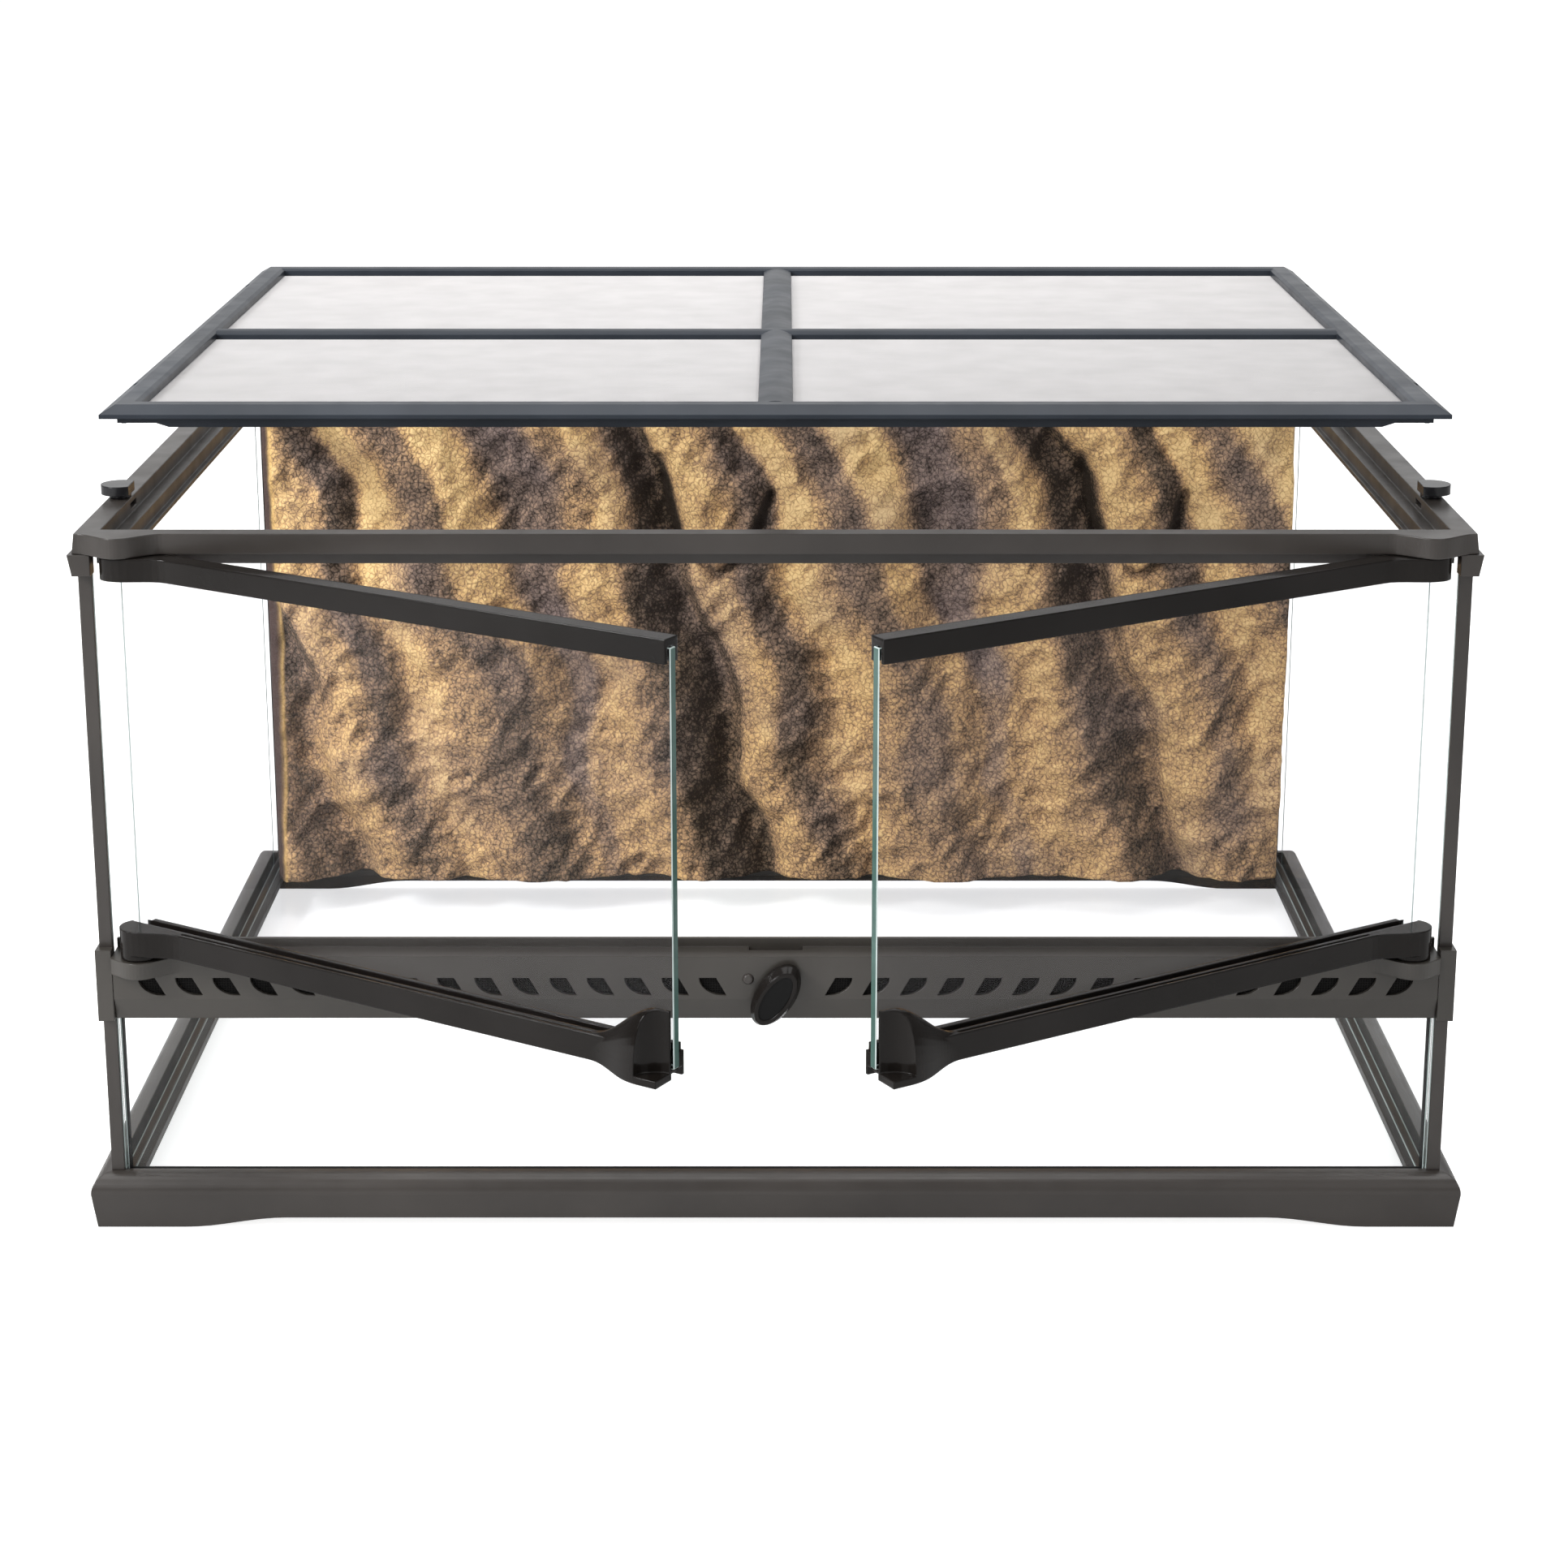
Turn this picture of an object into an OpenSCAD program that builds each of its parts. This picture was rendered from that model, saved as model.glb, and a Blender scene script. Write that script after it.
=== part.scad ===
/* [Glass case] */
// Width over the outer faces of the side panes
glass_w = 600; // [560:1:640]
// Depth over the outer faces of the front and rear panes
glass_d = 450; // [420:1:480]
// Height from the feet to the top of the top frame
case_h = 323; // [300:1:350]
// Thickness of the wall panes and the door panes
pane_t = 4; // [3.4:0.1:4.6]
// Thickness of the floor pane
floor_t = 5; // [4:0.1:6]
// Room between a pane and the plastic or the pane beside it
pane_gap = 0.2; // [0.1:0.05:0.3]
// Depth of the rim, from its top down to the upper edges of the panes
pane_drop = 8; // [7.7:0.1:9]
// Leg of the silicone bead along an inner corner
bead = 2.2; // [1.4:0.1:2.6]
// Room over the top of an upright bead
bead_end = 1; // [0.5:0.1:2]
/* [Base frame] */
// Height of the base frame
base_h = 25; // [22:0.5:30]
// How far the base frame stands out past the panes
base_out = 10.5; // [9:0.5:13]
// Width of the rim on top of the base frame
base_rim = 2.5; // [1.5:0.1:4]
// Height of the ledge that the panes stand on
ledge_z = 17; // [14:0.5:19]
// Thickness of that ledge
ledge_t = 4; // [3:0.1:5]
// Width of the ledge, inwards from the outer faces of the panes
ledge_in = 8.2; // [7:0.1:12]
// Wall of the skirt
skirt_t = 2.2; // [1.6:0.1:3]
// How far the skirt draws in at the feet
skirt_draft = 2; // [0.5:0.1:3]
// Height of the crease under the curved top
crease_h = 0.7; // [0.3:0.1:1.5]
// Height of the arches between the feet
arch_h = 4.8; // [3:0.1:7]
// Length of a foot along each side of its corner
foot_l = 42; // [30:1:60]
// Length of the curve from a foot up to the arch
arch_run = 46; // [30:1:60]

/* [Posts and sockets] */
// Width of a post across the front
post_w = 5.8; // [5:0.1:7]
// Thickness of a post's two wings
post_t = 1.9; // [1.6:0.1:2]
// Depth of a post along the side pane
post_d = 14; // [8:0.5:15]
// Height of a corner socket
socket_h = 9.4; // [7:0.1:12]
// How far a socket stands out past the top frame
socket_out = 1.2; // [0.6:0.1:2]
// How far a socket tapers in at its foot
socket_taper = 1.8; // [0.5:0.1:2.2]
// Length of a socket along the side pane
socket_l = 21; // [20.5:0.5:24]
// How far a socket reaches in from a side pane's outer face
socket_in = 4.6; // [4.3:0.1:5]
/* [Top frame] */
// Depth of the recess that the lid lies in
recess_h = 7; // [6.6:0.1:7.4]
// Width of the rim's top face at the sides and the rear
rim_w = 10; // [9.6:0.1:10.6]
// How far the top of the rim stands out past the panes
rim_out = 2; // [1.8:0.1:2.6]
// How far the foot of the rim stands out past the panes
frame_out = 4; // [3.4:0.1:5]
// Width of the seat that the lid lies on
seat_w = 6; // [5:0.1:6.6]
// Depth of the frame behind the panes, from its top
block_h = 13.5; // [12.9:0.1:15]
// Width of the small flange at the foot of the frame's inner wall
flange_w = 2.5; // [1:0.1:4]
// Thickness of that flange
flange_t = 2; // [1:0.1:3]
// Depth of the frame outside the panes, from its top
frame_h = 15; // [14:0.1:17]
// How far the front rail and the vent band stand out past the front pane
front_out = 7; // [6.6:0.1:8]
// Width of the front rail's top face
front_rim = 8.5; // [8.2:0.1:9]
// Depth of the front rail above the doors
front_h = 9; // [8.6:0.1:10]
// Depth of the door stop lip, from the top of the frame
stop_h = 16; // [14:0.1:18]
// How far the door stop lips lie behind the front pane's outer face
stop_in = 5.8; // [5.5:0.1:6.2]
// Thickness of the door stop lips
stop_t = 1.8; // [1.4:0.1:2]

/* [Vent band] */
// Height of the band's lower edge
band_z = 99.4; // [80:0.2:120]
// Height of the band
band_h = 30.6; // [29.6:0.1:34]
// Height of the slanting strip at the foot of the band
fold_h = 10.4; // [8:0.1:11]
// How far that strip slants in
fold_in = 3.6; // [2:0.1:4]
// Wall of the band
band_t = 2; // [1.6:0.1:2.4]
// How far the front pane reaches into the band
pane_in = 3.6; // [2.5:0.1:4]
// Height of the door stop lip on the band
lip_h = 4.1; // [3.6:0.1:5]
// Width of the slot for the latch arm in the band's top
arm_slot_w = 24; // [23.6:0.1:26]
// How much wider that slot is underneath, at each end
arm_slot_flare = 2.2; // [2:0.1:3]
// Slots on each side of the latch
slot_count = 16; // [10:1:16]
// Width of a slot
slot_w = 12.2; // [9:0.1:13]
// Height of a slot
slot_h = 8.3; // [6:0.1:9]
// Distance from the middle of the band to the nearest slot
slot_start = 22; // [20:0.5:24]
// Distance from the last slot to a side pane's outer face
slot_end = 15.3; // [15:0.1:22]
// Height of the slots above the fold
slot_up = 1.8; // [1:0.1:3]
// How far the band caps stand out past the side panes
cap_out = 3.2; // [3.1:0.1:4.5]
// How far the band caps rise above the band
cap_up = 2.8; // [1:0.1:4]
// How far the band caps stand out before the band
cap_proud = 0.2; // [0.1:0.1:0.5]
// How far the band caps reach past the posts
cap_past = 2; // [1:0.1:4]
// Diameter of the rivet beside the latch
rivet_d = 5.2; // [4:0.1:6]
// Height of the rivet's head
rivet_h = 1.2; // [0.8:0.1:2]
// Distance from the latch's axis to the rivet
rivet_x = 12.3; // [11.5:0.1:13]
// Height of the rivet above the band's lower edge
rivet_up = 20; // [18:0.1:20.6]
// Thickness of the screen strips behind the slots
net_t = 0.4; // [0.3:0.1:0.8]
// Distance from the band's ends to the screen strips
net_in = 4; // [2:0.5:8]

/* [Doors] */
// Angle at which the doors stand open at rest
door_angle = 31.3; // [0:0.1:60]
// Distance from a side pane's outer face to the hinge axis
hinge_in = 17; // [16.6:0.1:20]
// Distance from the front pane's outer face forward to the hinge axis
hinge_out = 6.5; // [6.3:0.1:6.8]
// Gap between the two closed doors
door_gap = 3; // [2:0.1:4]
// Room above and below a door
door_room = 0.4; // [0.3:0.1:0.8]
// Distance from the front pane's outer face forward to a closed door's pane
door_out = 2.5; // [2.2:0.1:2.8]
// How far a door's pane reaches past the hinge axis
door_tail = 7; // [5:0.1:7.4]
// Thickness of plastic before and behind a door's pane
rail_wall = 3; // [2.6:0.1:3.4]
// Height of a door's top rail
top_rail_h = 10; // [8:0.1:12]
// Height of a door's lower hinge barrel
low_rail_h = 14; // [13:0.1:18]
// How far the foot of a bottom rail lies above the foot of its barrel
low_rail_up = 2.6; // [1:0.1:3]
// Thickness of plastic before a door's pane in its top rail
top_rail_wall = 2; // [1.6:0.1:3]
// How far a door's bottom rail stands out before its pane
low_rail_out = 5; // [4.2:0.1:7]
// How far the rails end before their pane's free edge
rail_short = 1.2; // [0.5:0.1:2]
// Thickness of the lip before the groove on top of a bottom rail
rail_lip = 1.4; // [0.8:0.1:2]
// Width of that groove
rail_groove_w = 1.4; // [0.6:0.1:1.6]
// Depth of that groove
rail_groove_d = 1.2; // [0.5:0.1:2]
// How far a door's pane reaches into its top rail
rail_bite = 6.4; // [5:0.1:7]
// How far a door's pane reaches into its bottom rail
low_bite = 9.6; // [8:0.1:10]
// Radius of a hinge barrel
barrel_r = 8.5; // [7.5:0.1:9.4]
// Length of the curve that joins a barrel to its rail
barrel_run = 24; // [15:0.5:35]
// Radius of a hinge pin
pin_r = 2.5; // [2:0.1:2.6]
// Length of a hinge pin in the frame
pin_seat = 5; // [3:0.1:5.6]
// Length of a hinge pin in the door
pin_reach = 9; // [6:0.1:9.2]
// Room past the end of a hinge pin in its door
pin_room = 0.5; // [0.3:0.1:0.8]
// How far the hinge ears stand out
ear_out = 10; // [9:0.1:12]
// Half the width of a hinge ear
ear_half = 19; // [16:0.5:22]
// Height of the lower hinge ears
ear_h = 7.5; // [7:0.1:8]
// Plastic round a hinge pin behind a lower ear
pin_boss = 3.5; // [2:0.1:4.5]
// Running clearance round a pin, spindle or lock shaft
run_gap = 0.08; // [0.05:0.01:0.09]

/* [Door handles] */
// Length of a handle
handle_l = 38; // [34:0.5:46]
// Length of the handle's flat top
handle_flat = 6; // [4:0.5:14]
// Height of a handle above its rail
handle_up = 15.6; // [8:0.1:20]
// How far a handle bulges out before its rail
handle_bulge = 6.7; // [5:0.1:8]
// Distance from a door's free end to the crown of the bulge
crown_in = 9.5; // [6:0.5:14]
// How far a handle's top edge lies before its door's pane
handle_wall = 3; // [2:0.1:3.6]
// Height of the lip along the foot of a handle
handle_foot = 3.2; // [2:0.1:4]
// Width of the flat on a handle's flank
flat_w = 19; // [12:0.5:20]
// Distance from the handle's free end to that flat
flat_in = 18; // [16:0.5:22]
// Angle of the flat to its rail
flat_turn = 13.5; // [8:0.5:20]
// How far the flat's first corner lies before its rail
flat_sunk = 0.4; // [0:0.1:1]
// Sections along a handle
handle_steps = 20; // [12:1:30]
// Radius of the finger scoop
scoop_r = 11; // [9:0.1:12]
// Thickness of plastic between the scoop and the door's pane
scoop_wall = 1.2; // [0.8:0.1:2]
// Width of a door catch
catch_w = 12; // [11:0.1:13]
// Height of a door catch
catch_h = 10.4; // [9:0.1:11]
// Height of the space for the latch arm in a catch
catch_room = 3.6; // [3:0.1:4]
// Distance from a door's free end to its catch
catch_in = 0.6; // [0.3:0.1:1]

/* [Latch] */
// Height of the latch above the band's lower edge
latch_up = 13.6; // [13:0.1:14]
// Length of the knob
knob_l = 31.5; // [28:0.1:32]
// Width of the knob
knob_w = 17.5; // [15:0.1:19]
// Thickness of the knob
knob_t = 7; // [5:0.1:9]
// Share of the knob's thickness below its chamfer
knob_edge = 0.4; // [0.2:0.05:0.7]
// Width of the chamfer round the knob's face
knob_chamfer = 1.9; // [0.5:0.1:2.2]
// How far the knob leans from upright when the latch is open
knob_lean = 33; // [31:0.1:35]
// Length of the inset plate in the knob's face
inset_l = 23.4; // [18:0.1:24]
// Width of the inset plate
inset_w = 10.2; // [8:0.1:11]
// Thickness of the inset plate
inset_t = 1; // [0.6:0.1:1.4]
// How deep the inset plate lies in the knob's face
inset_sunk = 0.5; // [0:0.1:1]
// Radius of the spindle
spindle_r = 3; // [2.5:0.1:3.4]
// Plastic round the spindle behind the band
boss_wall = 2.5; // [1.5:0.1:3]
// Length of the latch arm
arm_l = 20; // [19.4:0.1:20.2]
// Width of the latch arm
arm_w = 8; // [6:0.1:8]
// Thickness of the latch arm
arm_t = 2; // [1.6:0.1:2.4]
// Metal round the spindle in the latch arm
cam_wall = 3; // [2:0.1:3.6]
// Radius of the screw that holds the arm
screw_r = 1.5; // [1.2:0.1:1.8]
// Length of that screw in the spindle
screw_l = 10; // [8:0.5:12]
// Thickness of its head
head_t = 1.8; // [1:0.1:2.5]
// How far its head reaches past the spindle
head_over = 1.5; // [0.5:0.1:2]
// Room between the latch's pieces and what they pass
latch_gap = 0.3; // [0.2:0.05:0.5]

/* [Lid] */
// How high the lid hangs above its seat at rest
lid_lift = 55; // [0:1:120]
// Room between the lid and the wall of its recess
lid_gap = 1.5; // [1.3:0.1:1.6]
// Room between the closed lid and its seat
seat_gap = 0.2; // [0.1:0.05:0.3]
// Width of the lid's rails
lid_rail = 15; // [13:0.1:18]
// Thickness of the lid's edge
lid_edge = 1.8; // [1.4:0.1:1.9]
// How far the lid's ridge lies below the rim
ridge_down = 1.5; // [1:0.1:2]
// Width of the slope from the lid's edge to its ridge
slope_w = 6; // [5:0.1:7]
// How far the lid's skirt lies in from its edge
lid_skirt_in = 6.5; // [6.3:0.1:7.5]
// Thickness of the lid's skirt
lid_skirt_t = 2; // [1.5:0.1:2.5]
// Depth of the lid's skirt
lid_skirt_h = 4.7; // [3:0.1:5]
// Length of the shallow ends of the lid's front skirt
shallow_l = 23.2; // [15:0.1:40]
// Length of the slope from there to the full depth
shallow_run = 5.6; // [2:0.1:10]
// How much shallower those ends are
shallow_up = 1.8; // [1:0.1:2.5]
// Bevel along the inner edge of the lid's rails
rail_bevel = 2; // [1:0.1:3]
// Width of the centre bar and the cross bar
bar_w = 15; // [12:0.1:18]
// How far a bar's edges lie below its crown
bar_crown = 1.6; // [0.5:0.1:2]
// How far the cross bar lies before the middle of the lid
bar_shift = 8; // [0:0.5:15]
// Thickness of the screens
screen_t = 0.6; // [0.4:0.1:1]
// Thickness of the ledge under the screens
screen_up = 0.9; // [0.6:0.1:1.2]
// Width of a wire of the screens
wire_w = 1.2; // [0.8:0.1:2]
// Width of the ledge that holds the screens
screen_ledge = 1.2; // [0.8:0.1:2]
// Gaps across one screen
gaps_x = 9; // [5:1:9]
// Gaps along one screen
gaps_y = 8; // [5:1:8]

/* [Lid locks] */
// Distance from a side pane's outer face in to a lock's axis
lock_in = 3; // [2.8:0.1:3.2]
// Distance from the lid's front or rear edge to a lock's axis
lock_along = 66; // [40:1:90]
// Radius of a lock's knob
lock_r = 8.6; // [7:0.1:9.5]
// Distance from a lock's axis to the flat on its knob
lock_flat = 5; // [4:0.1:5.2]
// Thickness of a lock's knob
lock_t = 4.3; // [3:0.1:6]
// Height of a lock's collar above the rim
collar_h = 1.7; // [1:0.1:3]
// Radius of a lock's collar
collar_r = 4.8; // [4.2:0.1:5]
// Room under a lock's collar
collar_gap = 0.1; // [0.05:0.05:0.3]
// Radius of a lock's shaft
shaft_r = 2.9; // [2.4:0.1:3]
// Height of the foot of a lock's shaft above the side pane's groove
shaft_up = 1.4; // [1:0.1:1.6]
// Length of a lock's finger
finger_l = 9; // [8.4:0.1:9.2]
// Width of a lock's finger
finger_w = 7.2; // [6.4:0.1:7.4]
// Thickness of a lock's finger
finger_t = 2; // [1.5:0.1:2.2]
// Room round a finger in its cavity
finger_gap = 0.3; // [0.2:0.05:0.4]
// Room round a finger in the lid's pocket
pocket_gap = 1.4; // [1:0.1:2]

/* [Cable inlets] */
// Inlets in each group
inlet_count = 5; // [3:1:5]
// Distance from one inlet to the next
inlet_pitch = 18.5; // [18.2:0.1:19]
// Width of an inlet
inlet_w = 9; // [8:0.1:9.2]
// Depth of an inlet below the rim
inlet_h = 6.4; // [5:0.1:6.6]
// Distance from the middle of the case to the first inlet's edge
inlet_start = 118; // [100:1:130]
// Depth of the shallow cut in the lid's edge beside the inlets
inlet_relief = 4; // [2:0.1:5]
// Thickness of a shutter
shutter_t = 2; // [1.6:0.1:2.1]
// How much wider than an inlet a shutter's tooth is
tooth_over = 0.3; // [0.1:0.1:0.4]
// How far the teeth end below the rim
tooth_down = 0.4; // [0.2:0.1:1]
// Height of a shutter's strip, below its teeth
strip_h = 4.4; // [3:0.1:4.6]
// Room round a shutter in its groove
shutter_gap = 0.1; // [0.05:0.01:0.12]
// Plastic between the shutter's groove and the rear pane
groove_wall = 0.4; // [0.3:0.05:0.5]
// Plastic under that groove
groove_floor = 1.5; // [1:0.1:2]
// Width of a shutter's thumb tab
tab_w = 8; // [6:0.5:12]
// Height of a shutter's thumb tab above the rim
tab_h = 2; // [1:0.1:3]

/* [Rock background] */
// Room between the panel and a side pane
rock_side = 3; // [1:0.5:10]
// Room between the panel's top and the top frame
rock_down = 7.2; // [2:0.1:30]
// Thickness of the panel at its furrows
rock_min = 14; // [8:0.5:20]
// Height of the relief from furrow to ridge
rock_relief = 26; // [10:0.5:30]
// Distance from one main furrow to the next
rock_pitch = 237.7; // [150:0.1:300]
// How far a furrow runs to the left for each unit of height
rock_slant = 0.22; // [0:0.01:0.5]
// How much more it runs to the left near the top, over the panel's whole height
rock_lean = 16; // [0:1:40]
// How far the furrows wander to and fro
rock_sway = 4; // [0:0.5:12]
// Height over which they wander once
rock_wander = 110; // [80:5:300]
// Relief left along the panel's two upright edges
rock_edge = 0.15; // [0:0.05:1]
// Facets across the panel
rock_nx = 48; // [20:1:60]
// Facets up the panel
rock_nz = 18; // [10:1:30]
// Room between the panel and the panes
rock_gap = 0.3; // [0.2:0.05:0.5]

/* [Hidden] */
$fn = 48;

// Half sizes of the glass box
half_w = glass_w / 2;
half_d = glass_d / 2;
// Room past the mouldings, for cutting them to length
reach = 40;
// Small amount by which a cutting body passes the face that it cuts
eps = 0.5;
// Thickness of the thin plates that a hull joins
skin = 0.1;

// Heights of the case, from the feet up
floor_top = ledge_z + floor_t;
pane_top = case_h - pane_drop;
recess_z = case_h - recess_h;
block_z = case_h - block_h;
overhang_z = case_h - front_h;
stop_z = case_h - stop_h;
band_top = band_z + band_h;
front_pane_top = band_z + pane_in;
web_z = front_pane_top + pane_gap;
web_top = web_z + band_t;
post_top = overhang_z - pane_gap;

// Places of the hinge axes and the door pieces, in a frame with the hinge axis at its origin
hinge_x = half_w - hinge_in;
hinge_y = -half_d - hinge_out;
door_l = hinge_x - door_gap / 2;
low_rail_z = band_top + door_room;
low_rail_top = low_rail_z + low_rail_h;
low_rail_foot = low_rail_z + low_rail_up;
rail_end = door_l - rail_short;
top_rail_top = overhang_z - door_room;
top_rail_z = top_rail_top - top_rail_h;
door_pane_y = hinge_out - door_out;
door_back = door_pane_y + pane_t + rail_wall;
top_rail_front = door_pane_y - top_rail_wall;
low_rail_front = door_pane_y - low_rail_out;
door_pane_z = low_rail_top - low_bite;
door_pane_top = top_rail_z + rail_bite;

// Places of the latch, along its axis
latch_z = band_z + latch_up;
face_y = -half_d - front_out;
rear_y = -half_d + stop_in + stop_t;
arm_y = hinge_y + door_pane_y + pane_t + latch_gap;
boss_y = arm_y - latch_gap;
knob_y = face_y - rivet_h - latch_gap;
arm_lean = 90 - knob_lean;

// The lid, as it lies in its recess
lid_w = glass_w - 2 * (rim_w - rim_out + lid_gap);
lid_front = -half_d - front_out + front_rim + lid_gap;
lid_rear = half_d + rim_out - rim_w - lid_gap;
lid_d = lid_rear - lid_front;
lid_y = (lid_rear + lid_front) / 2;
lid_z = recess_z + seat_gap;
ridge_z = case_h - ridge_down;
screen_z = lid_z + screen_up;
bar_y = lid_y - bar_shift;

// The lid locks
lock_x = half_w - lock_in;
lock_front_y = lid_front + lock_along;
lock_rear_y = lid_rear - lock_along;
finger_z = lid_z + lid_edge + finger_gap;
cavity_z = finger_z - finger_gap;
cavity_top = finger_z + finger_t + finger_gap;
shaft_z = pane_top + pane_gap + shaft_up;

// The shutters in the rear rail
groove_y = half_d - pane_t - pane_gap - groove_wall - shutter_t - 2 * shutter_gap;
shutter_y = groove_y + shutter_gap;
groove_z = block_z + groove_floor;
strip_z = groove_z + shutter_gap;
tooth_w = inlet_w + tooth_over;
shutter_l = (inlet_count - 1) * inlet_pitch + tooth_w;
shutter_travel = inlet_pitch / 2;

// Edges of the bays of the lid that the screens lie in
bay_in = bar_w / 2 + pane_gap / 2;
bay_out = lid_w / 2 - lid_rail - pane_gap / 2;
bay_front = lid_front + lid_rail + pane_gap / 2;
bay_rear = lid_rear - lid_rail - pane_gap / 2;

// Distance from one slot to the next
slot_pitch = (half_w - slot_end - slot_start - slot_w) / (slot_count - 1);

// The rock panel
rock_back = half_d - pane_t - bead - rock_gap;
rock_low = floor_top + rock_gap;
rock_w = 2 * (half_w - pane_t - rock_side);
rock_h = block_z - flange_t - rock_down - rock_low;

plastic = [0.13, 0.12, 0.115];
lid_plastic = [0.15, 0.165, 0.18];
clear_glass = [0.85, 0.93, 0.92, 0.35];

// Smooth step from 0 to 1
function ease(t) = (1 - cos(180 * t)) / 2;

// Point on an oval of the given length and width
function oval_points(l, w) = [for (i = [0 : 47]) [w / 2 * cos(7.5 * i), l / 2 * sin(7.5 * i)]];

// A straight moulding along X. Its profile is drawn as (out, up), with out measured from y = half.
module moulding(half, x0, x1, mitre0, mitre1) {
    intersection() {
        translate([x0 - reach, half, 0]) rotate([90, 0, 90])
            linear_extrude(x1 - x0 + 2 * reach) children();
        translate([0, 0, -reach]) linear_extrude(case_h + 2 * reach) polygon([
            [x0 - mitre0 * reach, half + reach], [x1 + mitre1 * reach, half + reach],
            [x1 - mitre1 * reach, half - reach], [x0 + mitre0 * reach, half - reach]]);
    }
}

// Four mouldings of one profile, mitred into a ring
module ring(w, d) {
    for (side = [0 : 3]) rotate(90 * side)
        moulding((side % 2 == 0 ? d : w) / 2, -(side % 2 == 0 ? w : d) / 2,
            (side % 2 == 0 ? w : d) / 2, 1, 1) children();
}

// Its child at both sides of the case
module both() {
    children();
    mirror([1, 0, 0]) children();
}

// A box between two corners
module block(low, high) {
    translate(low) cube(high - low);
}

// A plate drawn as seen from the front, from y0 back to y1
module upright(y0, y1) {
    translate([0, y1, 0]) rotate([90, 0, 0]) linear_extrude(y1 - y0) children();
}

module base_frame() {
    color(plastic) difference() {
        ring(glass_w, glass_d) polygon(concat(
            [[-ledge_in, ledge_z], [pane_gap, ledge_z], [pane_gap, base_h]],
            [for (t = [0 : 10 : 90]) [base_rim + (base_out - base_rim) * sin(t),
                ledge_z + (base_h - ledge_z) * cos(t)]],
            [[base_out, ledge_z - crease_h], [base_out - skirt_draft, 0],
                [base_out - skirt_draft - skirt_t, 0], [base_out - skirt_t, ledge_z - ledge_t],
                [-ledge_in, ledge_z - ledge_t]]));
        for (side = [0 : 3]) rotate(90 * side) arch(side % 2 == 0 ? glass_w : glass_d,
            (side % 2 == 0 ? glass_d : glass_w) / 2);
    }
}

// The space under one side of the base frame, between two feet
module arch(length, half) {
    end = length / 2 + base_out - foot_l;
    inside = base_out - skirt_draft - skirt_t - eps;
    upright(half + inside, half + base_out + eps) polygon(concat(
        [[-end, -eps], [end, -eps]],
        [for (i = [0 : 8]) [end - arch_run * i / 8, arch_h * ease(i / 8)]],
        [for (i = [8 : -1 : 0]) [-end + arch_run * i / 8, arch_h * ease(i / 8)]]));
}

module floor_glass() {
    x = half_w - pane_t - pane_gap;
    y = half_d - pane_t - pane_gap;
    color(clear_glass) block([-x, -y, ledge_z], [x, y, floor_top]);
}

// A side pane at the left, made larger all round by grow
module side_pane(grow) {
    block([-half_w - grow, -half_d - grow, ledge_z],
        [-half_w + pane_t + grow, half_d + grow, pane_top + grow]);
}

module left_glass() {
    color(clear_glass) side_pane(0);
}

module right_glass() {
    color(clear_glass) mirror([1, 0, 0]) side_pane(0);
}

// The rear pane, made larger by grow
module rear_pane(grow) {
    x = half_w - pane_t - pane_gap;
    block([-x - grow, half_d - pane_t - grow, ledge_z], [x + grow, half_d + grow, pane_top + grow]);
}

module rear_glass() {
    color(clear_glass) rear_pane(0);
}

module front_glass() {
    x = half_w - pane_t - pane_gap;
    color(clear_glass) block([-x, -half_d, ledge_z], [x, -half_d + pane_t, front_pane_top]);
}

// An angle round the front edge of the left pane, made larger by grow
module left_post(grow) {
    out = half_w + pane_gap + post_t + grow;
    front = -half_d - pane_gap - post_t - grow;
    block([-out, front, base_h], [-out + post_w + 2 * grow, -half_d - pane_gap + grow, post_top]);
    block([-out, front, base_h], [-half_w - pane_gap + grow, front + post_d + 2 * grow, post_top]);
}

module front_left_post() {
    color(plastic) left_post(0);
}

module front_right_post() {
    color(plastic) mirror([1, 0, 0]) left_post(0);
}

// A bead of silicone upright in a corner whose faces look along +X and +Y
module upright_bead(height) {
    translate([0, 0, floor_top]) linear_extrude(height) polygon([[0, 0], [bead, 0], [0, bead]]);
}

module silicone_seams() {
    x = half_w - pane_t;
    y = half_d - pane_t;
    color("black") union() {
        ring(glass_w, glass_d) polygon([[-pane_t, floor_top], [-pane_t, floor_top + bead],
            [-pane_t - bead, floor_top]]);
        both() {
            translate([-x, -y, 0]) upright_bead(band_z - floor_top - bead_end);
            translate([-x, y, 0]) mirror([0, 1, 0])
                upright_bead(block_z - flange_t - floor_top - bead_end);
        }
    }
}

// Plan of a hinge ear in front of the front face, with its middle on the hinge axis
module ear_plan() {
    polygon(concat(
        [for (i = [-12 : 12]) [ear_half * i / 12, -ear_out * (1 + cos(15 * i)) / 2]],
        [[ear_half, 1], [-ear_half, 1]]));
}

// A vent slot of the left side, from its upper left corner
module slot_outline() {
    a = 0.87 * slot_w;
    polygon(concat([for (t = [0 : 15 : 90]) [a - a * cos(t), -slot_h * sin(t)]],
        [[slot_w, -slot_h], [0.62 * slot_w, 0]]));
}

// The slot that the latch arm rises through, wider underneath
module arm_slot() {
    top = arm_slot_w / 2;
    low = top + arm_slot_flare;
    rise = eps * arm_slot_flare / band_t;
    polygon([[-low - rise, band_top - band_t - eps], [low + rise, band_top - band_t - eps],
        [top - rise, band_top + eps], [rise - top, band_top + eps]]);
}

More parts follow.
